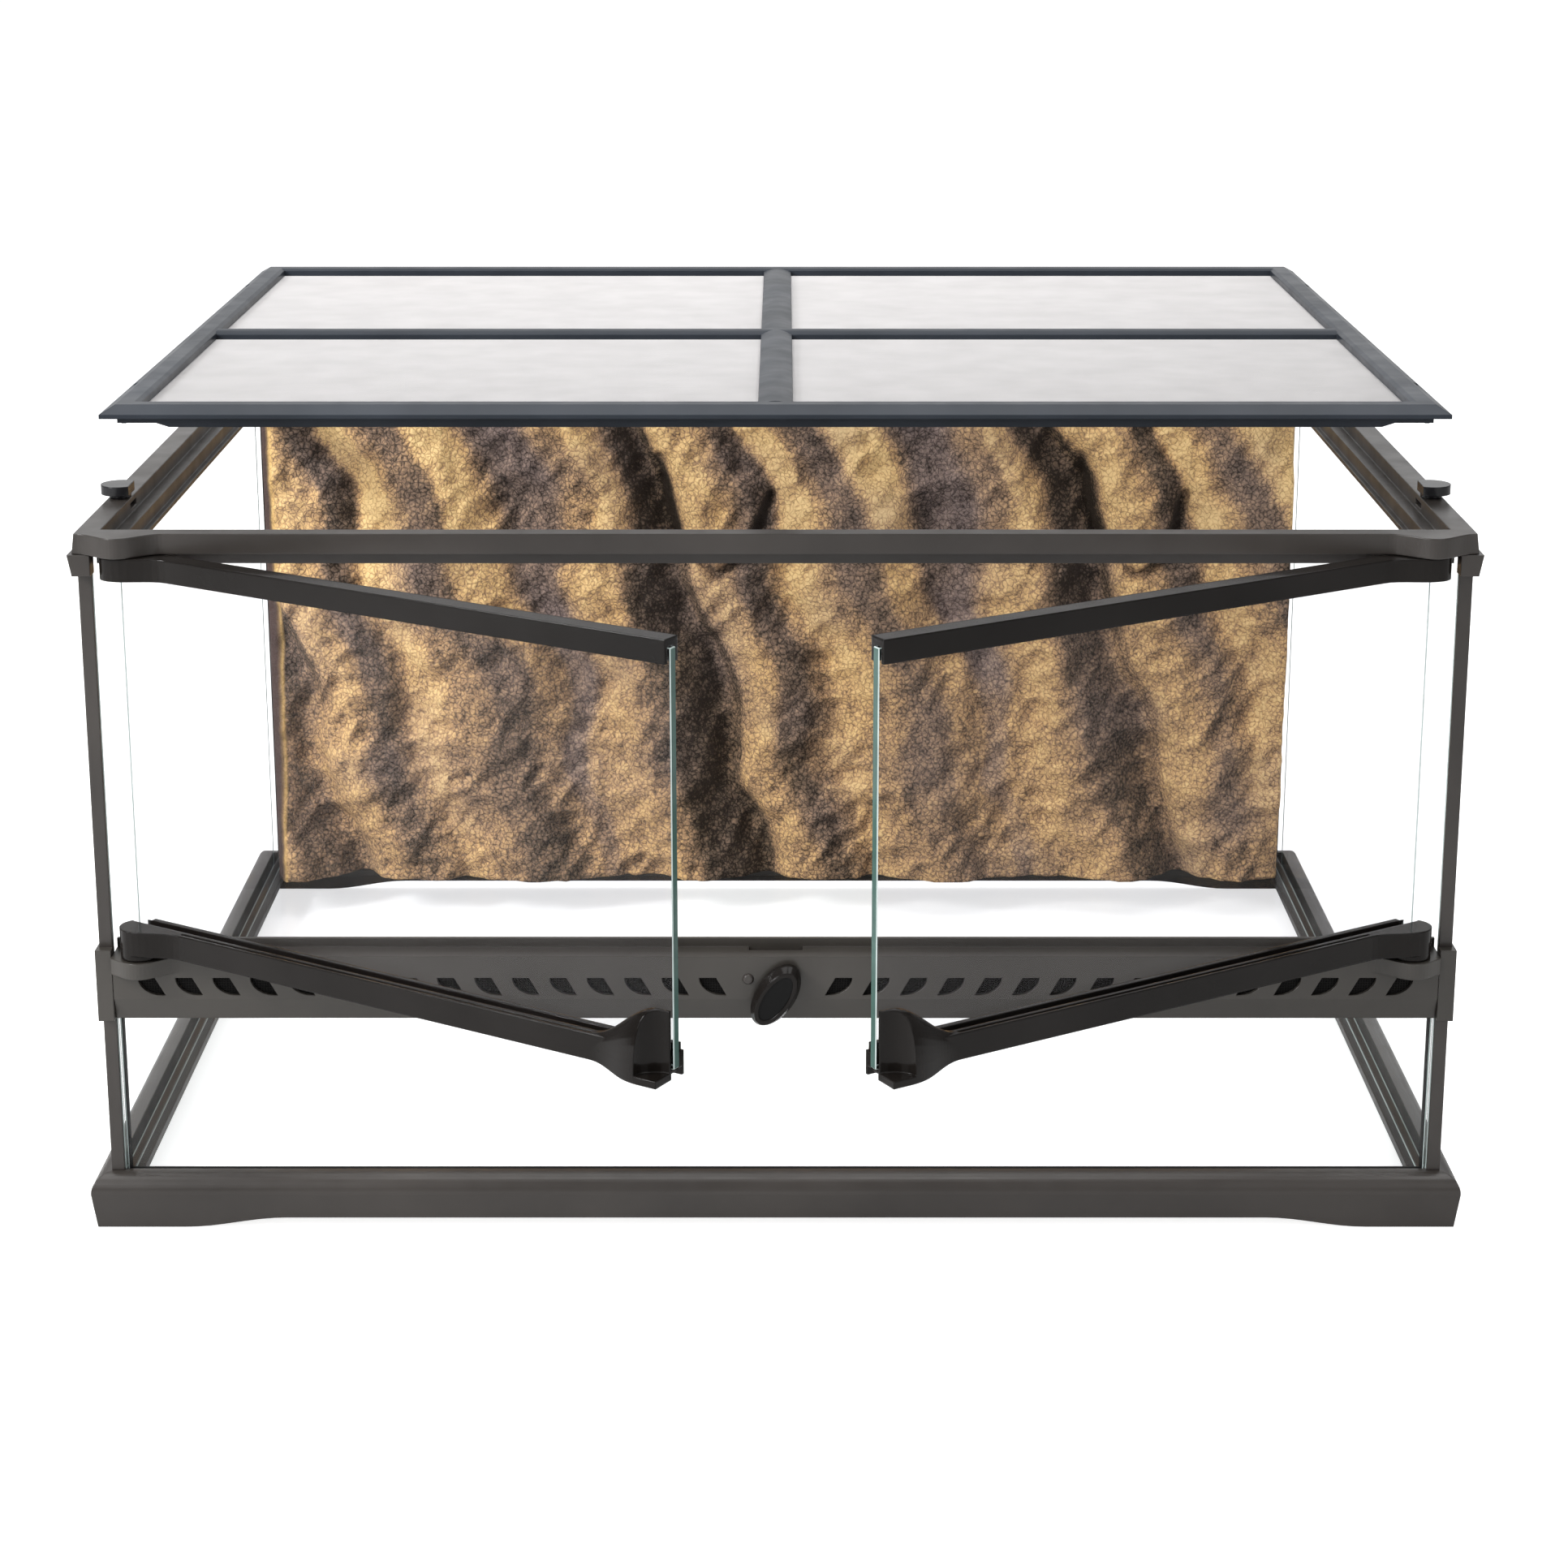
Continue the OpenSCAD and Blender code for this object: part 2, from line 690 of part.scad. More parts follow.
module vent_band() {
    x = half_w - pane_t - pane_gap;
    inner = -pane_t - pane_gap;
    slot_z = band_z + fold_h + slot_up + slot_h;
    strip = front_out - fold_in * (1 - (web_top - band_z) / fold_h) - band_t;
    color(plastic) difference() {
        union() {
            rotate(180) moulding(half_d, -x, x, 0, 0) polygon([
                [front_out - fold_in, band_z], [front_out, band_z + fold_h],
                [front_out, band_top], [-stop_in, band_top], [-stop_in, band_top + lip_h],
                [-stop_in - stop_t, band_top + lip_h], [-stop_in - stop_t, band_top - band_t],
                [front_out - band_t, band_top - band_t], [front_out - band_t, band_z + fold_h],
                [strip, web_top], [inner - band_t, web_top], [inner - band_t, band_z],
                [inner, band_z], [inner, web_z], [pane_gap, web_z], [pane_gap, band_z]]);
            both() {
                translate([-hinge_x, face_y, band_top - ear_h]) linear_extrude(ear_h) ear_plan();
                translate([-hinge_x, hinge_y, band_top - ear_h])
                    cylinder(h = ear_h, r = pin_r + pin_boss);
            }
            translate([0, boss_y, latch_z]) rotate([90, 0, 0])
                cylinder(h = boss_y - face_y - band_t / 2, r = spindle_r + boss_wall);
        }
        both() for (i = [0 : slot_count - 1])
            translate([-slot_start - slot_w - i * slot_pitch, 0, slot_z])
                upright(face_y - eps, face_y + band_t + eps) slot_outline();
        upright(boss_y, rear_y - stop_t) arm_slot();
        translate([0, boss_y + eps, latch_z]) rotate([90, 0, 0])
            cylinder(h = boss_y - face_y + 2 * eps, r = spindle_r + run_gap);
        both() translate([-hinge_x, hinge_y, band_top - pin_seat])
            cylinder(h = pin_seat + eps, r = pin_r);
        both() block([-x - reach, face_y - ear_out - eps, band_z], [-x, 0, band_top + eps]);
        rivet(0);
    }
}

// A cap that wraps the band round the left post
module band_cap() {
    difference() {
        block([-half_w - cap_out, face_y - cap_proud, band_z],
            [-half_w + pane_t, -half_d + post_d + cap_past, band_top + cap_up]);
        left_post(pane_gap / 2);
        side_pane(pane_gap);
    }
}

module left_band_cap() {
    color(plastic) band_cap();
}

module right_band_cap() {
    color(plastic) mirror([1, 0, 0]) band_cap();
}

module vent_screen() {
    inner = face_y + band_t;
    low = band_z + fold_h + pane_gap;
    color([0.2, 0.2, 0.2]) both()
        block([-half_w + pane_t + net_in, inner, low],
            [-spindle_r - boss_wall - pane_gap, inner + net_t, band_top - ear_h - pane_gap]);
}

// The shank and head of the rivet
module rivet(head) {
    translate([-rivet_x, face_y + band_t, band_z + rivet_up]) rotate([90, 0, 0])
        cylinder(h = band_t, d = 0.6 * rivet_d);
    if (head > 0) translate([-rivet_x, face_y, band_z + rivet_up]) rotate([90, 0, 0])
        cylinder(h = head, d1 = rivet_d, d2 = 0.7 * rivet_d);
}

module band_rivet() {
    color(plastic) rivet(rivet_h);
}

module lower_pivot_pins() {
    color("silver") both() translate([-hinge_x, hinge_y, band_top - pin_seat])
        cylinder(h = pin_seat + door_room + pin_reach, r = pin_r);
}

module upper_pivot_pins() {
    z = top_rail_top - pin_reach + pin_room;
    color("silver") both() translate([-hinge_x, hinge_y, z])
        cylinder(h = overhang_z + pin_seat - z, r = pin_r);
}

// Profile of the top frame at the sides and the rear
module rim_profile() {
    wall = rim_out - rim_w;
    inner = -pane_t - pane_gap;
    polygon([[pane_gap, case_h - frame_h], [frame_out, case_h - frame_h], [rim_out, case_h],
        [wall, case_h], [wall, recess_z], [wall - seat_w, recess_z], [wall - seat_w, block_z],
        [wall - seat_w - flange_w, block_z], [wall - seat_w - flange_w, block_z - flange_t],
        [inner, block_z - flange_t], [inner, pane_top + pane_gap],
        [pane_gap, pane_top + pane_gap]]);
}

// Profile of the top frame's front rail, over the doors
module front_profile() {
    wall = front_out - front_rim;
    polygon([[front_out, overhang_z], [front_out, case_h], [wall, case_h], [wall, recess_z],
        [-stop_in - stop_t, recess_z], [-stop_in - stop_t, stop_z], [-stop_in, stop_z],
        [-stop_in, overhang_z]]);
}

module top_frame() {
    stop_y = -half_d + stop_in;
    inner_x = half_w - pane_t - pane_gap;
    color(plastic) difference() {
        union() {
            moulding(half_d, -half_w, half_w, 1, 1) rim_profile();
            both() rotate(90) moulding(half_w, stop_y, half_d, 0, 1) rim_profile();
            both() rotate(90) moulding(half_w, face_y, stop_y, 0, 0) intersection() {
                rim_profile();
                translate([rim_out - rim_w, overhang_z]) square([rim_w + frame_out, front_h]);
            }
            rotate(180) moulding(half_d, -inner_x, inner_x, 0, 0) front_profile();
            both() block([-half_w - rim_out, face_y, overhang_z],
                [-inner_x, stop_y + stop_t, recess_z]);
            both() translate([-hinge_x, face_y, overhang_z]) linear_extrude(front_h) ear_plan();
        }
        both() side_pane(pane_gap);
        rear_pane(pane_gap);
        both() translate([-hinge_x, hinge_y, overhang_z - eps])
            cylinder(h = pin_seat + eps, r = pin_r);
        corner_blocks(pane_gap / 2);
        both() for (y = [lock_front_y, lock_rear_y]) translate([-lock_x, y, 0]) lock_cavity();
        both() inlets();
    }
}

// The space for a lock's shaft and finger in the left rim
module lock_cavity() {
    translate([0, 0, shaft_z - pane_gap]) cylinder(h = case_h - shaft_z + eps, r = shaft_r + run_gap);
    side = finger_w / 2 + finger_gap;
    block([-side, -side, cavity_z],
        [lock_x - half_w + rim_w - rim_out + eps, finger_l + finger_gap, cavity_top]);
}

// The notches and the shutter groove of the left group of inlets
module inlets() {
    wall_y = half_d + rim_out - rim_w;
    for (i = [0 : inlet_count - 1])
        translate([-inlet_start - inlet_w / 2 - i * inlet_pitch, 0, case_h - inlet_h]) {
            block([-inlet_w / 2, wall_y - eps, inlet_w / 2],
                [inlet_w / 2, half_d + frame_out + eps, inlet_h + eps]);
            translate([0, half_d + frame_out + eps, inlet_w / 2]) rotate([90, 0, 0])
                cylinder(h = frame_out + rim_w - rim_out + 2 * eps, d = inlet_w);
        }
    x = inlet_start - tooth_over / 2 - shutter_gap;
    block([-x - shutter_l - shutter_travel - 2 * shutter_gap, groove_y, groove_z],
        [-x, groove_y + shutter_t + 2 * shutter_gap, case_h + eps]);
}

// The four corner sockets as plain blocks, made larger by grow
module corner_blocks(grow) {
    inner = half_w - socket_in;
    out = half_w + frame_out + socket_out;
    top = overhang_z - pane_gap + grow;
    low = overhang_z - pane_gap - socket_h - grow;
    both() for (side = [-1, 1]) {
        face = side < 0 ? -half_d - front_out - socket_out : half_d + frame_out + socket_out;
        y0 = side < 0 ? face : face - socket_l;
        upright(y0 - grow, y0 + socket_l + grow) polygon([[-out - grow, top], [-inner + grow, top],
            [-inner + grow, low], [-out + socket_taper - grow, low]]);
    }
}

module corner_sockets() {
    color(plastic) difference() {
        corner_blocks(0);
        block([-half_w - pane_gap, -half_d - pane_gap, block_z - socket_h],
            [half_w + pane_gap, half_d + pane_gap, case_h]);
        both() left_post(pane_gap / 2);
    }
}

// Relief of the rock from one main furrow to the next: distance and height, from 0 to 1
FLUTES = [[0, 0.05], [6, 0.1], [14, 0.6], [28, 0.85], [46, 0.8], [64, 0.5], [80, 0.72], [100, 1],
    [118, 0.93], [136, 0.62], [155, 0.38], [172, 0.5], [192, 0.84], [208, 0.86], [222, 0.5],
    [237.7, 0.05]];

// The middle main furrow's place across the panel at a height z
function furrow(z) = -(bead + pane_t - 1.2) - rock_slant * z - rock_lean * pow(z / rock_h, 2)
    + rock_sway * sin(360 * z / rock_wander);

// Relief of the rock at a place across the panel and a height
function relief(x, z) =
    let (s = (x - furrow(z)) / rock_pitch)
    lookup((s - floor(s)) * FLUTES[len(FLUTES) - 1][0], FLUTES);

// The panel is a wavy front grid and a flat rear grid, joined along their four edges
module rock_background() {
    cols = rock_nx + 1;
    rear = cols * (rock_nz + 1);
    front = [for (j = [0 : rock_nz]) for (i = [0 : rock_nx])
        let (x = rock_w * (i / rock_nx - 0.5), z = rock_h * j / rock_nz,
            rise = i % rock_nx == 0 ? rock_edge : relief(x, rock_low + z))
        [x, rock_back - rock_min - rock_relief * rise, rock_low + z]];
    flat = [for (p = front) [p[0], rock_back, p[2]]];
    cells = [for (j = [0 : rock_nz - 1]) for (i = [0 : rock_nx - 1]) j * cols + i];
    top = rock_nz * cols;
    color([0.56, 0.45, 0.3]) polyhedron(concat(front, flat), concat(
        [for (a = cells) [a, a + cols, a + 1]],
        [for (a = cells) [a + 1, a + cols, a + cols + 1]],
        [for (a = cells) [rear + a, rear + a + 1, rear + a + cols + 1, rear + a + cols]],
        [for (i = [0 : rock_nx - 1]) [i, i + 1, rear + i + 1, rear + i]],
        [for (i = [0 : rock_nx - 1]) [top + i + 1, top + i, rear + top + i, rear + top + i + 1]],
        [for (j = [0 : rock_nz - 1]) let (a = j * cols) [a + cols, a, rear + a, rear + a + cols]],
        [for (j = [0 : rock_nz - 1]) let (a = j * cols + rock_nx)
            [a, a + cols, rear + a + cols, rear + a]]));
}

// The left door's frame: the hinge axis at the origin, the free end along +X
module at_left_door() {
    translate([-hinge_x, hinge_y, 0]) rotate(-door_angle) children();
}

module at_right_door() {
    mirror([1, 0, 0]) at_left_door() children();
}

// A closed door's pane, made larger by grow
module door_pane(grow) {
    block([-door_tail - grow, door_pane_y - grow, door_pane_z - grow],
        [door_l + grow, door_pane_y + pane_t + grow, door_pane_top + grow]);
}

// Plan of a door rail whose front face lies at y = front, with the curve from its barrel
module rail_plan(front) {
    polygon(concat([[0, door_back], [0, -barrel_r]],
        [for (i = [1 : 8]) [barrel_run * i / 8, -barrel_r + (front + barrel_r) * ease(i / 8)]],
        [[rail_end, front], [rail_end, door_back]]));
}

module top_rail() {
    difference() {
        translate([0, 0, top_rail_z]) union() {
            linear_extrude(top_rail_h) rail_plan(top_rail_front);
            cylinder(h = top_rail_h, r = barrel_r);
        }
        door_pane(pane_gap);
        translate([0, 0, top_rail_top - pin_reach]) cylinder(h = pin_reach + eps,
            r = pin_r + run_gap);
    }
}

// Section across a handle at a share of its length, as (y, z) from the foot of its rear face
function handle_section(share) =
    let (x = handle_l * share, l = handle_l - rail_short,
        top = low_rail_top + handle_up * ease(min(1, x / (l - handle_flat))),
        foot = low_rail_foot - low_rail_up * ease(min(1, x / (l - handle_flat - crown_in))),
        front = low_rail_front - handle_bulge * ease(min(1, x / (l - crown_in + rail_short))),
        wall = door_pane_y - handle_wall, rear = door_pane_y - pane_gap,
        lip = foot + handle_foot)
    concat([[rear, foot], [front, foot], [front, lip]],
        [for (t = [10 : 10 : 90]) [wall + (front - wall) * cos(t), lip + (top - lip) * sin(t)]],
        [[rear, top]]);

// The handle is lofted through its sections, from the rail to the free end
module handle() {
    count = len(handle_section(0));
    last = handle_steps * count;
    places = [for (i = [0 : handle_steps])
        let (share = (1 - rail_short / handle_l) * i / handle_steps)
        for (p = handle_section(share)) [door_l - handle_l + handle_l * share, p[0], p[1]]];
    polyhedron(places, concat(
        [[for (j = [count - 1 : -1 : 0]) j], [for (j = [0 : count - 1]) last + j]],
        [for (i = [0 : handle_steps - 1]) for (j = [0 : count - 1])
            let (a = i * count, k = (j + 1) % count) [a + j, a + k, a + count + j]],
        [for (i = [0 : handle_steps - 1]) for (j = [0 : count - 1])
            let (a = i * count, k = (j + 1) % count) [a + k, a + count + k, a + count + j]]));
}

module bottom_rail() {
    wall_y = door_pane_y + pane_t + pane_gap;
    catch_x = door_l - catch_in - catch_w;
    lip = low_rail_z + handle_foot;
    difference() {
        union() {
            translate([0, 0, low_rail_foot]) linear_extrude(low_rail_top - low_rail_foot)
                rail_plan(low_rail_front);
            translate([0, 0, low_rail_z]) cylinder(h = low_rail_h, r = barrel_r);
            handle();
        }
        door_pane(pane_gap);
        translate([0, 0, low_rail_z - eps]) cylinder(h = pin_reach + pin_room + eps,
            r = pin_r + run_gap);
        block([barrel_run, low_rail_front + rail_lip, low_rail_top - rail_groove_d],
            [door_l - handle_l, low_rail_front + rail_lip + rail_groove_w, low_rail_top + eps]);
        translate([door_l - handle_l + handle_l - rail_short - flat_in - flat_w,
            low_rail_front - flat_sunk, lip]) rotate(-flat_turn)
                translate([0, -handle_l, 0]) cube([flat_w, handle_l, handle_l]);
        translate([rail_end, door_pane_y - pane_gap - scoop_wall - scoop_r, lip])
            cylinder(h = handle_l, r = scoop_r);
        block([catch_x, wall_y, low_rail_foot - eps], [door_l, door_back + eps, low_rail_z + catch_h]);
    }
}

// The catch behind a door's free end: a block on the rail with space for the latch arm under it
module door_catch() {
    x1 = door_l - catch_in;
    x0 = x1 - catch_w;
    y0 = door_pane_y + pane_t + pane_gap;
    y1 = hinge_out + stop_in - pane_gap;
    arm_back = arm_y + arm_t + latch_gap - hinge_y;
    difference() {
        block([x0, y0, low_rail_z], [x1, y1, low_rail_z + catch_h]);
        block([x0 - eps, y0 - eps, low_rail_z - eps], [x1 + eps, arm_back, low_rail_z + catch_room]);
    }
}

module left_door_glass() {
    color(clear_glass) at_left_door() door_pane(0);
}

module left_door_top_rail() {
    color(plastic) at_left_door() top_rail();
}

module left_door_bottom_rail() {
    color(plastic) at_left_door() bottom_rail();
}

module left_door_catch() {
    color(plastic) at_left_door() door_catch();
}

module right_door_glass() {
    color(clear_glass) at_right_door() door_pane(0);
}

module right_door_top_rail() {
    color(plastic) at_right_door() top_rail();
}

module right_door_bottom_rail() {
    color(plastic) at_right_door() bottom_rail();
}

module right_door_catch() {
    color(plastic) at_right_door() door_catch();
}

// The latch's frame, seen from the front with its axis at the origin and its knob upright
module at_latch(y, lean) {
    translate([0, y, latch_z]) rotate([0, lean, 0]) rotate([90, 0, 0]) children();
}

module latch_knob() {
    color(plastic) difference() {
        at_latch(knob_y, knob_lean) {
            linear_extrude(knob_t * knob_edge) polygon(oval_points(knob_l, knob_w));
            hull() {
                translate([0, 0, knob_t * knob_edge - skin]) linear_extrude(skin)
                    polygon(oval_points(knob_l, knob_w));
                translate([0, 0, knob_t - skin]) linear_extrude(skin)
                    polygon(oval_points(knob_l - 2 * knob_chamfer, knob_w - 2 * knob_chamfer));
            }
        }
        at_latch(knob_y - knob_t + inset_t + inset_sunk, knob_lean)
            linear_extrude(inset_t + inset_sunk + eps) polygon(oval_points(inset_l, inset_w));
        at_latch(knob_y + eps, 0) cylinder(h = knob_t / 2 + eps, r = spindle_r);
    }
}

module latch_knob_inset() {
    color([0.2, 0.2, 0.2]) at_latch(knob_y - knob_t + inset_t + inset_sunk, knob_lean)
        linear_extrude(inset_t) polygon(oval_points(inset_l, inset_w));
}

module latch_spindle() {
    length = arm_y + arm_t - knob_y + knob_t / 2;
    color("silver") difference() {
        at_latch(arm_y + arm_t, 0) cylinder(h = length, r = spindle_r);
        at_latch(arm_y + arm_t + eps, 0) cylinder(h = screw_l + eps, r = screw_r);
    }
}

module latch_cam() {
    color("silver") difference() {
        at_latch(arm_y + arm_t, -arm_lean) {
            cylinder(h = arm_t, r = spindle_r + cam_wall);
            translate([-arm_w / 2, 0, 0]) cube([arm_w, arm_l, arm_t]);
        }
        at_latch(arm_y + arm_t + eps, 0) cylinder(h = arm_t + 2 * eps, r = spindle_r);
    }
}

module latch_screw() {
    color("silver") {
        at_latch(arm_y + arm_t + head_t, 0) cylinder(h = head_t, r = spindle_r + head_over);
        at_latch(arm_y + arm_t, 0) cylinder(h = screw_l, r = screw_r);
    }
}

// Profile of a bar of the lid, across the bar
module bar_profile() {
    w = bar_w / 2;
    polygon(concat([[-w - screen_ledge, lid_z], [w + screen_ledge, lid_z],
        [w + screen_ledge, screen_z], [w, screen_z]],
        [for (i = [0 : 8]) [w - bar_w * i / 8, ridge_z - bar_crown * pow(2 * i / 8 - 1, 2)]],
        [[-w, screen_z], [-w - screen_ledge, screen_z]]));
}

// What is left out of the left end of the lid's front skirt
module shallow_end() {
    foot = lid_z - lid_skirt_h;
    end = shallow_l - lid_w / 2;
    polygon([[-lid_w / 2, foot - eps], [end + shallow_run, foot - eps], [end + shallow_run, foot],
        [end, foot + shallow_up], [-lid_w / 2, foot + shallow_up]]);
}

module lid_frame() {
    inner_x = lid_w / 2 - lid_rail + eps;
    color(lid_plastic) translate([0, 0, lid_lift]) difference() {
        union() {
            translate([0, lid_y, 0]) ring(lid_w, lid_d) polygon([[0, lid_z],
                [0, lid_z + lid_edge], [-slope_w, ridge_z], [-lid_rail + rail_bevel, ridge_z],
                [-lid_rail, ridge_z - rail_bevel / 2], [-lid_rail, screen_z],
                [-lid_rail - screen_ledge, screen_z], [-lid_rail - screen_ledge, lid_z],
                [-lid_skirt_in - lid_skirt_t, lid_z],
                [-lid_skirt_in - lid_skirt_t, lid_z - lid_skirt_h],
                [-lid_skirt_in, lid_z - lid_skirt_h], [-lid_skirt_in, lid_z]]);
            upright(lid_front + lid_rail - eps, lid_rear - lid_rail + eps) bar_profile();
            rotate(-90) upright(-inner_x, inner_x) translate([-bar_y, 0]) bar_profile();
        }
        both() for (y = [lock_front_y, lock_rear_y])
            translate([-lock_x, y, lid_z + lid_edge]) cylinder(h = recess_h, r = finger_l + pocket_gap);
        both() block([-inlet_start - shutter_l, lid_rear - inlet_relief, lid_z + lid_edge],
            [-inlet_start, lid_rear + eps, case_h]);
        both() upright(lid_front, lid_front + lid_rail) shallow_end();
    }
}

// A flat screen in a bay of the lid, between two corners
module screen(x0, y0, x1, y1) {
    w = x1 - x0;
    d = y1 - y0;
    step_x = (w - wire_w) / gaps_x;
    step_y = (d - wire_w) / gaps_y;
    color([0.7, 0.7, 0.7]) translate([x0, y0, screen_z + lid_lift]) linear_extrude(screen_t)
        difference() {
            square([w, d]);
            for (i = [0 : gaps_x - 1]) for (j = [0 : gaps_y - 1])
                translate([wire_w + i * step_x, wire_w + j * step_y])
                    square([step_x - wire_w, step_y - wire_w]);
        }
}

module lid_screen_front_left() {
    screen(-bay_out, bay_front, -bay_in, bar_y - bay_in);
}

module lid_screen_front_right() {
    screen(bay_in, bay_front, bay_out, bar_y - bay_in);
}

module lid_screen_rear_left() {
    screen(-bay_out, bar_y + bay_in, -bay_in, bay_rear);
}

module lid_screen_rear_right() {
    screen(bay_in, bar_y + bay_in, bay_out, bay_rear);
}

// A lock for the left rim: its flat looks inwards and its finger lies along the rim
module lid_lock() {
    disc_z = case_h + collar_gap + collar_h;
    translate([0, 0, shaft_z]) cylinder(h = disc_z - shaft_z, r = shaft_r);
    translate([0, 0, case_h + collar_gap]) cylinder(h = collar_h, r = collar_r);
    translate([0, 0, disc_z]) intersection() {
        cylinder(h = lock_t, r = lock_r);
        translate([-lock_r, -lock_r, 0]) cube([lock_r + lock_flat, 2 * lock_r, lock_t]);
    }
    translate([0, 0, finger_z]) intersection() {
        cylinder(h = finger_t, r = finger_l);
        union() {
            translate([-finger_w / 2, 0, 0]) cube([finger_w, finger_l, finger_t]);
            cylinder(h = finger_t, d = finger_w);
        }
    }
}

module lock_front_left() {
    color(plastic) translate([-lock_x, lock_front_y, 0]) lid_lock();
}

module lock_front_right() {
    color(plastic) mirror([1, 0, 0]) translate([-lock_x, lock_front_y, 0]) lid_lock();
}

module lock_rear_left() {
    color(plastic) translate([-lock_x, lock_rear_y, 0]) lid_lock();
}

module lock_rear_right() {
    color(plastic) mirror([1, 0, 0]) translate([-lock_x, lock_rear_y, 0]) lid_lock();
}

// The comb shutter of the left group: a strip, a tooth for each inlet and a thumb tab
module shutter() {
    x = inlet_start - tooth_over / 2;
    top = case_h - tooth_down;
    y1 = shutter_y + shutter_t;
    block([-x - shutter_l, shutter_y, strip_z], [-x, y1, strip_z + strip_h]);
    for (i = [0 : inlet_count - 1])
        block([-x - i * inlet_pitch - tooth_w, shutter_y, strip_z],
            [-x - i * inlet_pitch, y1, top]);
    block([-x - shutter_l / 2 - tab_w / 2, shutter_y, strip_z],
        [-x - shutter_l / 2 + tab_w / 2, y1, case_h + tab_h]);
}

module left_inlet_shutter() {
    color(plastic) shutter();
}

module right_inlet_shutter() {
    color(plastic) mirror([1, 0, 0]) shutter();
}

base_frame();
floor_glass();
left_glass();
right_glass();
rear_glass();
front_glass();
front_left_post();
front_right_post();
silicone_seams();
vent_band();
left_band_cap();
right_band_cap();
vent_screen();
band_rivet();
lower_pivot_pins();
upper_pivot_pins();
top_frame();
corner_sockets();
rock_background();
left_door_glass();
left_door_top_rail();
left_door_bottom_rail();
left_door_catch();
right_door_glass();
right_door_top_rail();
right_door_bottom_rail();
right_door_catch();
latch_knob();
latch_knob_inset();
latch_spindle();
latch_cam();
latch_screw();
lid_frame();
lid_screen_front_left();
lid_screen_front_right();
lid_screen_rear_left();
lid_screen_rear_right();
lock_front_left();
lock_front_right();
lock_rear_left();
lock_rear_right();
left_inlet_shutter();
right_inlet_shutter();
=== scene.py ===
import math

import bmesh
import bpy
import numpy as np
from mathutils import Matrix, Vector


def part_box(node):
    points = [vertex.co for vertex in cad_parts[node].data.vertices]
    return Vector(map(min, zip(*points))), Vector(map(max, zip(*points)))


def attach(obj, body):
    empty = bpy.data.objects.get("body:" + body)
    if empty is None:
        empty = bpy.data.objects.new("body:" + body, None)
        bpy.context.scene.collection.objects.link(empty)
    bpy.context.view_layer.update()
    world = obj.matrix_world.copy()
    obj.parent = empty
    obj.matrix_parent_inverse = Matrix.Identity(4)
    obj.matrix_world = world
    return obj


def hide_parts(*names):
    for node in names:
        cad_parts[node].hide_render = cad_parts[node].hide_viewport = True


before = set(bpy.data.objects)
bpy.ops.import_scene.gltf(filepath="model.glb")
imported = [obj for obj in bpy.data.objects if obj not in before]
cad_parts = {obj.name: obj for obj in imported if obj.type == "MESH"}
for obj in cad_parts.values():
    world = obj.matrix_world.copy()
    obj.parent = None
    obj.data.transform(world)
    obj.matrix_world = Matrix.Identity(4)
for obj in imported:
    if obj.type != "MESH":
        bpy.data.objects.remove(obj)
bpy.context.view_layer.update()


# Base frame
# One injection moulding in satin black plastic: a skirt on four corner feet, with a rounded top
# that the wall panes stand behind. The mould's fine spark grain covers all of it.

def tone(red, green, blue):
    """A screen's colour, from 0 to 255, in the linear values that a shader takes (sRGB curve)."""
    return tuple(((c / 255 + 0.055) / 1.055) ** 2.4 if c > 10 else c / 3294
                 for c in (red, green, blue))


def new_material(name):
    material = bpy.data.materials.new(name)
    material.use_nodes = True
    return material, material.node_tree, material.node_tree.nodes["Principled BSDF"]


def add_noise(tree, scale, detail, stretch=(1, 1, 1)):
    """A cloud pattern that stays on the piece when it moves."""
    place = tree.nodes.new("ShaderNodeTexCoord")
    mapping = tree.nodes.new("ShaderNodeMapping")
    mapping.inputs["Scale"].default_value = stretch
    pattern = tree.nodes.new("ShaderNodeTexNoise")
    pattern.inputs["Scale"].default_value = scale
    pattern.inputs["Detail"].default_value = detail
    tree.links.new(place.outputs["Object"], mapping.inputs["Vector"])
    tree.links.new(mapping.outputs["Vector"], pattern.inputs["Vector"])
    return pattern.outputs["Fac"]


def spread(tree, value, low, high):
    """A pattern's middle range, stretched to run from low to high."""
    span = tree.nodes.new("ShaderNodeMapRange")
    span.inputs["From Min"].default_value = 0.3
    span.inputs["From Max"].default_value = 0.7
    span.inputs["To Min"].default_value = low
    span.inputs["To Max"].default_value = high
    tree.links.new(value, span.inputs["Value"])
    return span.outputs["Result"]


def blend_colours(tree, factor, first, second):
    mix = tree.nodes.new("ShaderNodeMix")
    mix.data_type = "RGBA"
    tree.links.new(factor, mix.inputs["Factor"])
    for socket, colour in (("A", first), ("B", second)):
        target = [i for i in mix.inputs if i.name == socket and i.type == "RGBA"][0]
        if isinstance(colour, bpy.types.NodeSocket):
            tree.links.new(colour, target)
        else:
            target.default_value = (*colour, 1)
    return [o for o in mix.outputs if o.type == "RGBA"][0]


def combine(tree, operation, first, second):
    node = tree.nodes.new("ShaderNodeMath")
    node.operation = operation
    for socket, value in zip(node.inputs, (first, second)):
        if isinstance(value, bpy.types.NodeSocket):
            tree.links.new(value, socket)
        else:
            socket.default_value = value
    return node.outputs["Value"]


PATCHES_PER_METRE = 14
RUBS_PER_METRE = 60
GRAINS_PER_METRE = 1600
GRAIN_HEIGHT = 0.0001
ROUGHNESS_SPREAD = 0.05
WORN_GAIN = 1.5
WORN_HAZE = 0.004


